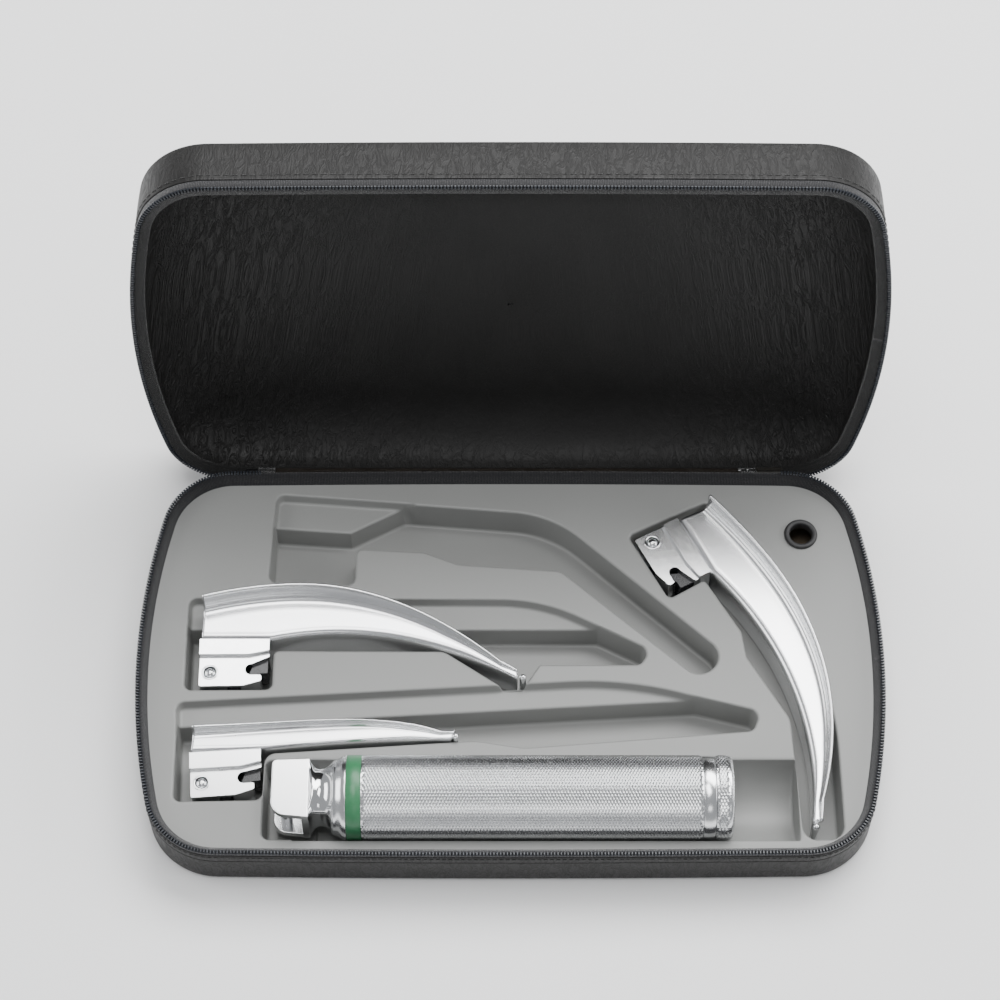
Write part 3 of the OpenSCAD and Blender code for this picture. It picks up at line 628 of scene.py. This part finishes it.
LOWER_DEEP = [(-114.6, -53.4, 2.5), (-84.4, -52.8, 3), (-84.2, -35.6, 4), (-12, -30.7, 6), (4.9, -33.4, 2),
    (83.5, -27, 3), (86.5, -19.8, 3.4), (64.5, -14.1, 0.6), (-114.8, -24.6, 0)]
LOWER_SHELF = [(-114.7, -28.4, 0), (76.0, -17.4, 0), (39.4, -7.4, 120), (-115.6, -16.4, 3)]
RIGHT_DEEP = [(42.3, 49.8, 2), (56.1, 24.4, 2), (69, 32, 1.5), (81.2, 11.2, 3), (82.6, 1.2, 3),
    (96.6, -22.6, 8), (98.9, -67.6, 5), (112.6, -67.2, 5), (112.2, -22, 90), (98, 27, 60), (71, 63.8, 3)]
HEAD_POCKET = [(-84, -67.3, 2.5), (-65.6, -67.3, 0), (-65.6, -38.5, 0), (-84, -38.5, 2.5)]
FLOOR_Z, SHELF_Z = 4.3, 14.1
GROMMET = (104.0, 50.1)


def rounded(corners):
    """Polygon with arcs at its corners, as in the CAD model but finer."""
    points, n = [], len(corners)
    for i, (x, y, r) in enumerate(corners):
        p0, p1, p2 = (np.array(corners[k % n][:2], float) for k in (i - 1, i, i + 1))
        if r <= 0:
            points.append(p1)
            continue
        u, v = (p0 - p1) / np.linalg.norm(p0 - p1), (p2 - p1) / np.linalg.norm(p2 - p1)
        half = math.acos(max(-1.0, min(1.0, float(u @ v)))) / 2
        c = p1 + (u + v) / np.linalg.norm(u + v) * r / math.sin(half)
        a0 = math.atan2(*(p1 + u * r / math.tan(half) - c)[::-1])
        a1 = math.atan2(*(p1 + v * r / math.tan(half) - c)[::-1])
        turn = (a1 - a0 + math.pi) % (2 * math.pi) - math.pi
        points += [c + r * np.array([math.cos(a0 + turn * k / 14), math.sin(a0 + turn * k / 14)])
            for k in range(15)]
    return np.array(points)


def signed_distance(x, y, polygon):
    """Distance from grid points to a polygon's edge, negative inside."""
    best = np.full(x.shape, 1e9)
    inside = np.zeros(x.shape, bool)
    for (ax, ay), (bx, by) in zip(polygon, np.roll(polygon, -1, axis=0)):
        dx, dy = bx - ax, by - ay
        length = dx * dx + dy * dy
        if length < 1e-12:
            continue
        t = np.clip(((x - ax) * dx + (y - ay) * dy) / length, 0.0, 1.0)
        best = np.minimum(best, (x - ax - t * dx) ** 2 + (y - ay - t * dy) ** 2)
        crosses = ((ay > y) != (by > y)) & (x < dx * (y - ay) / (dy if dy else 1e-12) + ax)
        inside ^= crosses
    best = np.sqrt(best)
    return np.where(inside, -best, best)


def grown(corners, d):
    """The same outline moved outwards by d; negative moves it in."""
    pts = np.array([c[:2] for c in corners], float)
    nxt, prv = np.roll(pts, -1, axis=0), np.roll(pts, 1, axis=0)
    turn = 1.0 if np.sum(pts[:, 0] * nxt[:, 1] - nxt[:, 0] * pts[:, 1]) > 0 else -1.0
    out = []
    for p, q, a, (_, _, r) in zip(prv, nxt, pts, corners):
        u, v = (a - p) / np.linalg.norm(a - p), (q - a) / np.linalg.norm(q - a)
        cross, dot = u[0] * v[1] - u[1] * v[0], float(u @ v)
        bulge = 1.0 if cross * turn > 0 else -1.0
        miter = np.array([u[1] + v[1], -u[0] - v[0]]) * turn / (1.0 + dot)
        out.append((*(a + miter * d), max(0.0, r + bulge * d)))
    return out


LIP, DRAFT, FOOT = 0.85, 0.55, 1.1
LIP_STEPS = [-LIP - 0.35, -LIP, -LIP * 0.62, -LIP * 0.3, -LIP * 0.08, 0.0]
FOOT_STEPS = [DRAFT, DRAFT + FOOT * 0.08, DRAFT + FOOT * 0.3, DRAFT + FOOT * 0.62, DRAFT + FOOT,
    DRAFT + FOOT + 0.4]


def fall(u, depth):
    """How far the sheet has dropped at distance u inside a pocket's edge: lip, drafted wall and foot."""
    lip = LIP - np.sqrt(np.clip(LIP ** 2 - np.clip(u + LIP, 0.0, LIP) ** 2, 0.0, None))
    wall = LIP + (depth - LIP - FOOT) * np.clip(u / DRAFT, 0.0, 1.0)
    foot = np.sqrt(np.clip(FOOT ** 2 - (FOOT - np.clip(u - DRAFT, 0.0, FOOT)) ** 2, 0.0, None))
    return np.where(u < 0.0, lip, np.where(u < DRAFT, wall, depth - FOOT + foot))


def cradle_fall(x, y):
    """Half-round bed of the handle, open into the head's pocket, with an upright wall at its far end."""
    radius, across = HANDLE_R + 0.6, np.abs(y - AXIS_Y)
    bed = DECK_Z - AXIS_Z + np.sqrt(np.clip(radius ** 2 - across ** 2, 0.0, None))
    brim = 0.25 * np.clip(1.0 - (across - radius + 0.1) / 0.9, 0.0, 1.0) ** 2
    depth = np.maximum(bed, brim)
    u = np.minimum(x + 74.0, 97.6 - x)
    share = fall(u, 13.6) / 13.6
    return depth * share


def tray_heights(x, y):
    shelf = np.full(x.shape, DECK_Z)
    for corners in (LARGE_SHELF, MIDDLE_SHELF, LOWER_SHELF):
        d = signed_distance(x, y, rounded(corners))
        shelf = np.minimum(shelf, DECK_Z - fall(-d, DECK_Z - SHELF_Z))
    z = shelf.copy()
    for corners in (LARGE_DEEP, MIDDLE_DEEP, LOWER_DEEP, RIGHT_DEEP, HEAD_POCKET):
        d = signed_distance(x, y, rounded(corners))
        z = np.minimum(z, shelf - fall(-d, shelf - FLOOR_Z))
    return np.minimum(z, DECK_Z - cradle_fall(x, y))


def make_tray():
    """The sheet is cut along lines that follow every lip, wall and foot, so its edges stay crisp."""
    points, edges = [], []

    def line(path, closed):
        start, n = len(points), len(path)
        points.extend((float(px), float(py)) for px, py in path)
        edges.extend((start + k, start + (k + 1) % n) for k in range(n if closed else n - 1))

    for corners in (LARGE_SHELF, MIDDLE_SHELF, LOWER_SHELF, LARGE_DEEP, MIDDLE_DEEP, LOWER_DEEP, RIGHT_DEEP,
            HEAD_POCKET):
        for u in LIP_STEPS + FOOT_STEPS:
            line(rounded(grown(corners, -u)), True)
    radius = HANDLE_R + 0.6
    lines = [radius * math.sin(math.radians(a)) for a in np.arange(0.0, 84.1, 4.0)]
    lines += [radius - 0.05, radius + 0.35, radius + 1.0]
    for across in lines:
        for side in (-1, 1) if across else (1,):
            line([(px, AXIS_Y + side * across) for px in np.linspace(-75.0, 98.8, 60)], False)
    for u in LIP_STEPS + FOOT_STEPS:
        for px in (-74.0 + u, 97.6 - u):
            line([(px, AXIS_Y + a) for a in [-a for a in lines[::-1]] + lines[1:]], False)
    rim = 3.4
    for inset in (2.6, 2.8, 3.1, rim, 3.8):
        line(outline(500, inset)[0], True)
    turn = np.arange(64) * math.pi / 32
    line(np.column_stack([GROMMET[0] + 4.6 * np.cos(turn), GROMMET[1] + 4.6 * np.sin(turn)]), True)

    verts, _, faces = delaunay_2d_cdt([Vector(p) for p in points], edges, [], 0, 1e-5, False)[:3]
    xy = np.array([tuple(v) for v in verts])
    faces = np.array([f for f in faces if len(f) == 3])
    middle = xy[faces].mean(axis=1)
    inside = signed_distance(middle[:, 0], middle[:, 1], outline(500, 2.6)[0]) < 0.0
    hole = np.hypot(middle[:, 0] - GROMMET[0], middle[:, 1] - GROMMET[1]) > 4.58
    faces = faces[inside & hole]
    z = tray_heights(xy[:, 0], xy[:, 1])
    edge = signed_distance(xy[:, 0], xy[:, 1], outline(500, 2.6)[0])
    z = z - 1.0 * np.clip(1.0 + edge / (rim - 2.6), 0.0, 1.0) ** 2
    used = np.unique(faces)
    index = np.full(len(xy), -1)
    index[used] = np.arange(len(used))
    mesh_piece("formed_tray", np.column_stack([xy, z])[used], index[faces], MAT["tray"], "case base",
        ["tray"])


def ring_about_z(name, centre, profile, material, body, replaces=(), sides=96, closed=True):
    """Solid of revolution about a vertical line; profile is (radius, z), a loop or an open arc."""
    angle = np.arange(sides) * 2 * math.pi / sides
    verts = np.array([(centre[0] + r * math.cos(a), centre[1] + r * math.sin(a), z) for r, z in profile
        for a in angle])
    faces = grid_faces(len(profile), sides, wrap_rows=closed)
    mesh_piece(name, verts, faces, material, body, replaces)


def make_grommet():
    profile = [(4.15, 14.8), (5.5, 14.8), (5.5, 16.4), (4.75, 16.6), (4.75, 17.5), (5.75, 17.55),
        (5.9, 17.75), (5.9, 18.15), (5.75, 18.5), (5.4, 18.72), (4.9, 18.75), (4.4, 18.65), (4.12, 18.4),
        (4.0, 18.0), (4.0, 15.4)]
    ring_about_z("lamp_grommet_ring", GROMMET, profile, MAT["rubber"], "case base",
        ["lamp_grommet"])


# ---------------------------------------------------------------- handle

def about_axis(profile, sides):
    """Rings of points about the handle's axis; profile is (x, radius)."""
    angle = np.arange(sides) * 2 * math.pi / sides
    return np.array([(x, AXIS_Y + r * math.cos(a), AXIS_Z + r * math.sin(a)) for x, r in profile
        for a in angle])


def lathe(name, profile, material, body, replaces=(), sides=160, smooth=True):
    """Solid of revolution about the handle's axis; profile is (x, radius)."""
    faces = grid_faces(len(profile), sides)
    return mesh_piece(name, about_axis(profile, sides), faces, material, body, replaces, smooth)


def knurled(name, x0, x1, radius, depth, pitch, material, body, replaces=(), ends=()):
    """Diamond knurl: a lattice of small pyramids, peaks between crossing grooves, with turned ends."""
    sides = 2 * round(math.pi * radius / pitch)
    rows = 2 * round((x1 - x0) / pitch) + 1
    i, j = np.meshgrid(np.arange(rows), np.arange(sides), indexing="ij")
    angle = j * 2 * math.pi / sides
    fade = np.clip(np.minimum(i, rows - 1 - i) / 2.0, 0.0, 1.0)
    r = radius - np.where((i + j) % 2 == 1, 0.0, depth) * fade - (1 - fade) * depth * 0.6
    x = x0 + (x1 - x0) * i / (rows - 1)
    verts = np.stack([x, AXIS_Y + r * np.cos(angle), AXIS_Z + r * np.sin(angle)], -1).reshape(-1, 3)
    quads = grid_faces(rows, sides)
    even = ((quads[:, 0] // sides + quads[:, 0] % sides) % 2 == 0)
    a, b, c, d = quads.T
    tris = np.concatenate([np.column_stack([a, b, c])[even], np.column_stack([a, c, d])[even],
        np.column_stack([a, b, d])[~even], np.column_stack([b, c, d])[~even]])
    faces = tris.tolist()
    parts = [verts]
    count = len(verts)
    for side, profile in ends:
        ring = about_axis(profile, sides)
        parts.append(ring)
        first = 0 if side < 0 else (rows - 1) * sides
        for k in range(sides):
            n = (k + 1) % sides
            quad = [first + k, first + n, count + n, count + k]
            faces.append(quad if side > 0 else quad[::-1])
        for f in grid_faces(len(profile), sides) + count:
            faces.append(f.tolist() if side > 0 else f[::-1].tolist())
        count += len(ring)
    return mesh_piece(name, np.concatenate(parts), [f[::-1] for f in faces], material, body, replaces,
        smooth=False)


def make_handle():
    knurled("knurled_grip", TUBE_X + 0.1, BAND_X - 0.1, HANDLE_R, 0.3, 1.08, MAT["knurl"], "handle",
        ["grip_tube"], [(-1, [(TUBE_X, 14.2), (TUBE_X, 13.0)]),
        (1, [(BAND_X, 14.2), (BAND_X, 13.0)])])
    lathe("tail_band_turned", [(BAND_X, 13.0), (BAND_X + 0.05, 14.15), (BAND_X + 0.3, 14.3),
        (CAP_X - 0.3, 14.3), (CAP_X - 0.05, 14.15), (CAP_X, 13.0), (CAP_X, 12.4)], MAT["turned"], "handle",
        ["tail_band"])
    turn = np.linspace(0.0, math.pi / 2, 7)
    dome = [(CAP_END - 1.4 + 1.4 * math.sin(t), HANDLE_R - 1.6 + 1.4 * math.cos(t)) for t in turn]
    knurled("end_cap_knurled", CAP_X + 0.25, CAP_END - 1.6, HANDLE_R, 0.34, 1.12, MAT["knurl"], "end cap",
        ["end_cap"], [(-1, [(CAP_X + 0.1, 14.1), (CAP_X + 0.1, 8.0)]),
        (1, dome + [(CAP_END, 9.0), (CAP_END - 0.3, 8.6), (CAP_END - 0.3, 0.01)])])
    lathe("green_ring_band", [(RING_X, 13.0), (RING_X + 0.02, 14.25), (RING_X + 0.2, 14.42),
        (TUBE_X - 0.25, 14.42), (TUBE_X - 0.05, 14.25), (TUBE_X - 0.03, 13.0)], MAT["green"], "handle",
        ["green_ring"])
    collar = [(-60.0, 11.2), (-60.0, 12.45), (-59.6, 12.75)]
    collar += [(-59.6 + 3.6 * k, 12.75 + 1.5 * (k * k * (3 - 2 * k))) for k in np.linspace(0.1, 1.0, 10)]
    collar += [(RING_X - 0.25, 14.45), (RING_X - 0.05, 14.35), (RING_X, 13.0)]
    lathe("head_collar_turned", collar, MAT["turned"], "handle", ["head_collar"])
    make_head()


def inset_loop(points, d):
    """A closed outline moved inwards by d along its corners' bisectors."""
    points = np.asarray(points, float)
    nxt, prv = np.roll(points, -1, axis=0), np.roll(points, 1, axis=0)
    turn = 1.0 if np.sum(points[:, 0] * nxt[:, 1] - nxt[:, 0] * points[:, 1]) > 0 else -1.0
    u, v = points - prv, nxt - points
    u /= np.linalg.norm(u, axis=1, keepdims=True)
    v /= np.linalg.norm(v, axis=1, keepdims=True)
    miter = np.column_stack([-u[:, 1] - v[:, 1], u[:, 0] + v[:, 0]]) * turn
    return points + miter * d / np.clip(1.0 + np.sum(u * v, axis=1, keepdims=True), 0.4, None)


def slab(points, low, high, edge):
    """A plate of the given outline with rounded top and bottom edges: vertices and faces."""
    steps = [(edge * (1 - math.cos(a)), edge * (1 - math.sin(a))) for a in np.linspace(0.0, math.pi / 2, 5)]
    rings = [(d, low + h) for d, h in steps[::-1]] + [(d, high - h) for d, h in steps]
    n = len(points)
    verts = np.concatenate([np.column_stack([inset_loop(points, d), np.full(n, z)]) for d, z in rings])
    faces = grid_faces(len(rings), n).tolist()
    faces += [list(range(n))[::-1], list(range((len(rings) - 1) * n, len(rings) * n))]
    return verts, faces


def make_head():
    """Fork cheeks, and the waisted neck with its two half-round cuts."""
    cheek = rounded([(-80.5, -9.6, 5), (-68.0, -10.8, 0), (-68.0, 10.5, 0), (-80.5, 10.1, 1.4)])
    cheek = cheek + [0.0, AXIS_Y]
    root = np.array([(-70.2, -10.7), (-67.9, -10.8), (-67.9, 10.5), (-70.2, 10.4)]) + [0.0, AXIS_Y]
    plates = [slab(cheek, AXIS_Z + 6.3, AXIS_Z + 9.0, 0.3), slab(cheek, AXIS_Z - 9.0, AXIS_Z - 6.3, 0.3),
              slab(root, AXIS_Z - 8.9, AXIS_Z + 8.9, 0.25)]
    verts, faces, _ = joined([(v, f, np.zeros((1, 2))) for v, f in plates])
    mesh_piece("head_fork_cheeks", verts, faces, MAT["block"], "handle", ["handle_head"],
        smooth=False)

    stations, sides = 56, 288
    xs = np.linspace(-68.15, -59.9, stations)
    angle = np.arange(sides) * 2 * math.pi / sides
    cut_x, cut_y, cut_r = -64.3, 11.9, 3.75
    rows = []
    for x in xs:
        t = (x - xs[0]) / (xs[-1] - xs[0])
        square = np.clip(1.0 - t / 0.3, 0.0, 1.0) ** 2
        waist = 12.2 - 2.2 * math.sin(math.pi * min(1.0, t * 1.02)) ** 0.9 + 0.3 * t
        block = np.minimum(10.6 / np.maximum(np.abs(np.sin(angle)), 1e-3),
            8.9 / np.maximum(np.abs(np.cos(angle)), 1e-3))
        r = waist * (1 - square) + np.minimum(block, 13.4) * square
        gap = cut_r ** 2 - (x - cut_x) ** 2
        if gap > 0:
            limit = (cut_y - math.sqrt(gap)) / np.maximum(np.abs(np.sin(angle)), 1e-3)
            k = 0.9
            h = np.clip(0.5 + 0.5 * (limit - r) / k, 0.0, 1.0)
            r = limit * (1 - h) + r * h - k * h * (1 - h)
        rows.append(np.column_stack([np.full(sides, x), AXIS_Y + r * np.sin(angle),
            AXIS_Z + r * np.cos(angle)]))
    mesh_piece("head_neck_waisted", np.concatenate(rows), grid_faces(stations, sides)[:, ::-1],
               MAT["polished"], "handle")


# ---------------------------------------------------------------- blades

WEB_Z, SPATULA_Z, SHEET = 19.3, 4.4, 1.2
PLATE_TOP, PLATE_LIFT = 18.2, {"straight1": 1.5}
BLADES = {
    "curved3": ("large curved blade", (60.2, 55.8, -62.8), [(0.5, 11.2), (42, 22.5), (88, 24), (125, -17.5)],
                [(23.5, -0.1), (55, 8.5), (92, 5.5), (125, -17.6)], 8.6, 2.8),
    "curved2": ("medium curved blade", (-108.4, 7.4, 0.0), [(0.3, 11.6), (40, 22), (74, 16.8), (112, -15.8)],
                [(25, -0.2), (55, 6.5), (84, -0.3), (112, -16)], 8.6, 2.8),
    "straight1": ("straight blade", (-109.7, -36.2, 3.3), [(0.5, 7.3), (50, 7), (70, 9.5), (90.3, 0)],
                  [(24.5, -0.1), (45, 0.9), (70, 1.5), (90.3, -0.1)], 4.0, 1.9),
}


def bezier(c, t):
    c = np.array(c, float)
    t = np.asarray(t, float)[..., None]
    return (1 - t) ** 3 * c[0] + 3 * t * (1 - t) ** 2 * c[1] + 3 * t * t * (1 - t) * c[2] + t ** 3 * c[3]


def blade_section(width, height, run, low):
    """Middle line of the sheet: spatula edge, round bend, web, fillet and upright flange."""
    bend, run = min(2.6, width * 0.45), min(run, width * 0.4, max(height, 0.3))
    height = max(height, run + 0.15)
    points = [(0.0, low + (WEB_Z - bend - low) * k) for k in np.linspace(0.0, 1.0, 7)[:-1]]
    quarter_turn = np.linspace(0.0, math.pi / 2, 9)
    points += [(bend - bend * math.cos(a), WEB_Z - bend + bend * math.sin(a)) for a in quarter_turn]
    points += [(bend + (width - run - bend) * k, WEB_Z) for k in np.linspace(0.0, 1.0, 12)[1:]]
    points += [(width - run + run * math.sin(a), WEB_Z + run * (1 - math.cos(a))) for a in quarter_turn[1:]]
    points += [(width, WEB_Z + run + (height - run) * k) for k in (0.35, 0.7, 1.0)]
    return np.array(points)


def thick_section(points):
    """Closed outline of the sheet with rounded ends."""
    ahead = np.gradient(points, axis=0)
    ahead /= np.linalg.norm(ahead, axis=1, keepdims=True)
    inward = np.column_stack([ahead[:, 1], -ahead[:, 0]])
    back = points + inward * SHEET
    middle = (points + back) / 2

    def end(k, sign):
        tip = middle[k] + sign * ahead[k] * SHEET * 0.45
        crown = sign * ahead[k] * 0.14
        return [(points[k] + tip) / 2 + crown, tip, (back[k] + tip) / 2 + crown]

    last, first = end(-1, 1.0), end(0, -1.0)
    return np.concatenate([points, last, back[::-1], first[::-1]])


def make_blade(key):
    body, (ox, oy, angle), rim, bend, flange, run = BLADES[key]
    c, s = math.cos(math.radians(angle)), math.sin(math.radians(angle))

    def laid(x, y):
        """From the blade's own frame to where it lies in the tray."""
        return ox + c * x - s * y, oy + s * x + c * y

    stations = 150
    lead = bend[0][0] / bend[3][0]
    rings = []
    for i in range(stations + 1):
        t = 0.004 + 0.986 * i / stations
        if t < lead:
            b = np.array([bend[0][0] * t / lead, bend[0][1]])
        else:
            b = bezier(bend, (t - lead) / (1 - lead))
        r = bezier(rim, t)
        gap = np.linalg.norm(r - b)
        width = max(2.4, gap)
        across = (r - b) / gap if gap > 0.5 else np.array([0.35, 0.94])
        height = flange * (1 - max(0.0, (t - 0.35) / 0.65) ** 1.4)
        low = SPATULA_Z + 3.0 * max(0.0, (t - 0.9) / 0.1) ** 2
        section = thick_section(blade_section(width, height, run, low))
        rings.append(np.column_stack([b + section[:, :1] * across, section[:, 1]]))
    count = len(rings[0])
    verts = np.concatenate(rings)
    faces = grid_faces(stations + 1, count).tolist()
    faces += [list(range(count)), list(range(stations * count, (stations + 1) * count))[::-1]]
    verts[:, 0], verts[:, 1] = laid(verts[:, 0].copy(), verts[:, 1].copy())
    mesh_piece(key + "_blade_sheet", verts, faces, MAT["web"], body, [key + "_spatula"])
    tip = np.array(bend[3], float) + np.array([0.75, 1.0])
    low = SPATULA_Z + 3.0
    roll = [(1.15 * math.cos(a), low + 1.15 + 1.15 * math.sin(a)) for a in np.linspace(-math.pi / 2, 0.0, 8)]
    roll += [(1.2 * math.cos(a), WEB_Z - 0.1 + 1.3 * math.sin(a))
        for a in np.linspace(0.0, math.pi / 2 - 0.02, 10)]
    ring_about_z(key + "_tip_bead", laid(*tip), roll, MAT["polished"], body, (), 40, False)
    lift = PLATE_LIFT.get(key, 0.0)
    inner, outer, z = 2.25, 2.95, PLATE_TOP + 0.18
    profile = [(inner, z - 0.6), (inner, z - 0.05), (inner + 0.08, z), (outer - 0.3, z),
        (outer - 0.1, z - 0.06), (outer, z - 0.25), (outer, z - 0.6)]
    ring_about_z(key + "_ball_collar", laid(3.9, -12.5 + lift), profile, MAT["polished"], body,
        (), 64)
    # Painted shade: a black block fills the hook slot and stands in for the shade inside the open slot.
    hook = [(17.0, -13.0), (20.6, -13.2), (20.9, -12.2), (23.9, -12.0), (23.9, -6.6), (18.6, -8.8)]
    hook = np.array([laid(px, py + lift * (py < -8)) for px, py in hook])
    verts, faces = slab(hook, PLATE_TOP - 10.4, PLATE_TOP - 1.7, 0.2)
    mesh_piece(key + "_slot_painted_shade", verts, faces, MAT["inlet"], body, smooth=False)


# ---------------------------------------------------------------- CAD nodes that stay

def dress(node, material, bevel=0.0):
    obj = NODES[node]
    obj.data.materials.clear()
    obj.data.materials.append(material)
    if bevel:
        mod = obj.modifiers.new("soft_edges", "BEVEL")
        mod.width, mod.segments = bevel * MM, 2
        mod.limit_method, mod.angle_limit = "ANGLE", math.radians(35)
        mod.harden_normals = True


def dress_nodes():
    for node, material, bevel in (
            ("base_board", "board", 0), ("lid_board", "board", 0), ("zip_pull", "zip_metal", 0.15),
            ("hook_pin", "polished", 0), ("cell_sleeve", "sleeve", 0),
            ("cell_front", "cell", 0.3), ("cell_rear", "cell", 0.3), ("lamp_unit", "brass", 0),
            ("switch_plunger", "white", 0), ("plunger_spring", "spring", 0), ("cap_seal", "rubber", 0),
            ("cap_spring", "spring", 0)):
        dress(node, MAT[material], bevel)
    for key in BLADES:
        dress(key + "_block", MAT["block"], 0.2)
        for part, material in (("inlet", "inlet"), ("fibre", "fibre"), ("ball_upper", "polished"),
                ("ball_lower", "polished"), ("ball_spring", "spring")):
            dress(f"{key}_{part}", MAT[material])


def make_floor():
    size = 3000.0
    verts = [(-size, -size, 0), (size, -size, 0), (size, size, 0), (-size, size, 0)]
    data = bpy.data.meshes.new("floor")
    data.from_pydata([tuple(c * MM for c in v) for v in verts], [], [(0, 1, 2, 3)])
    data.materials.append(MAT["floor"])
    floor = bpy.data.objects.new("floor", data)
    bpy.context.collection.objects.link(floor)


make_camera()
make_lights()
MAT = make_materials()
make_floor()
make_case()
make_hinge()
make_tray()
make_grommet()
make_handle()
for blade in BLADES:
    make_blade(blade)
dress_nodes()
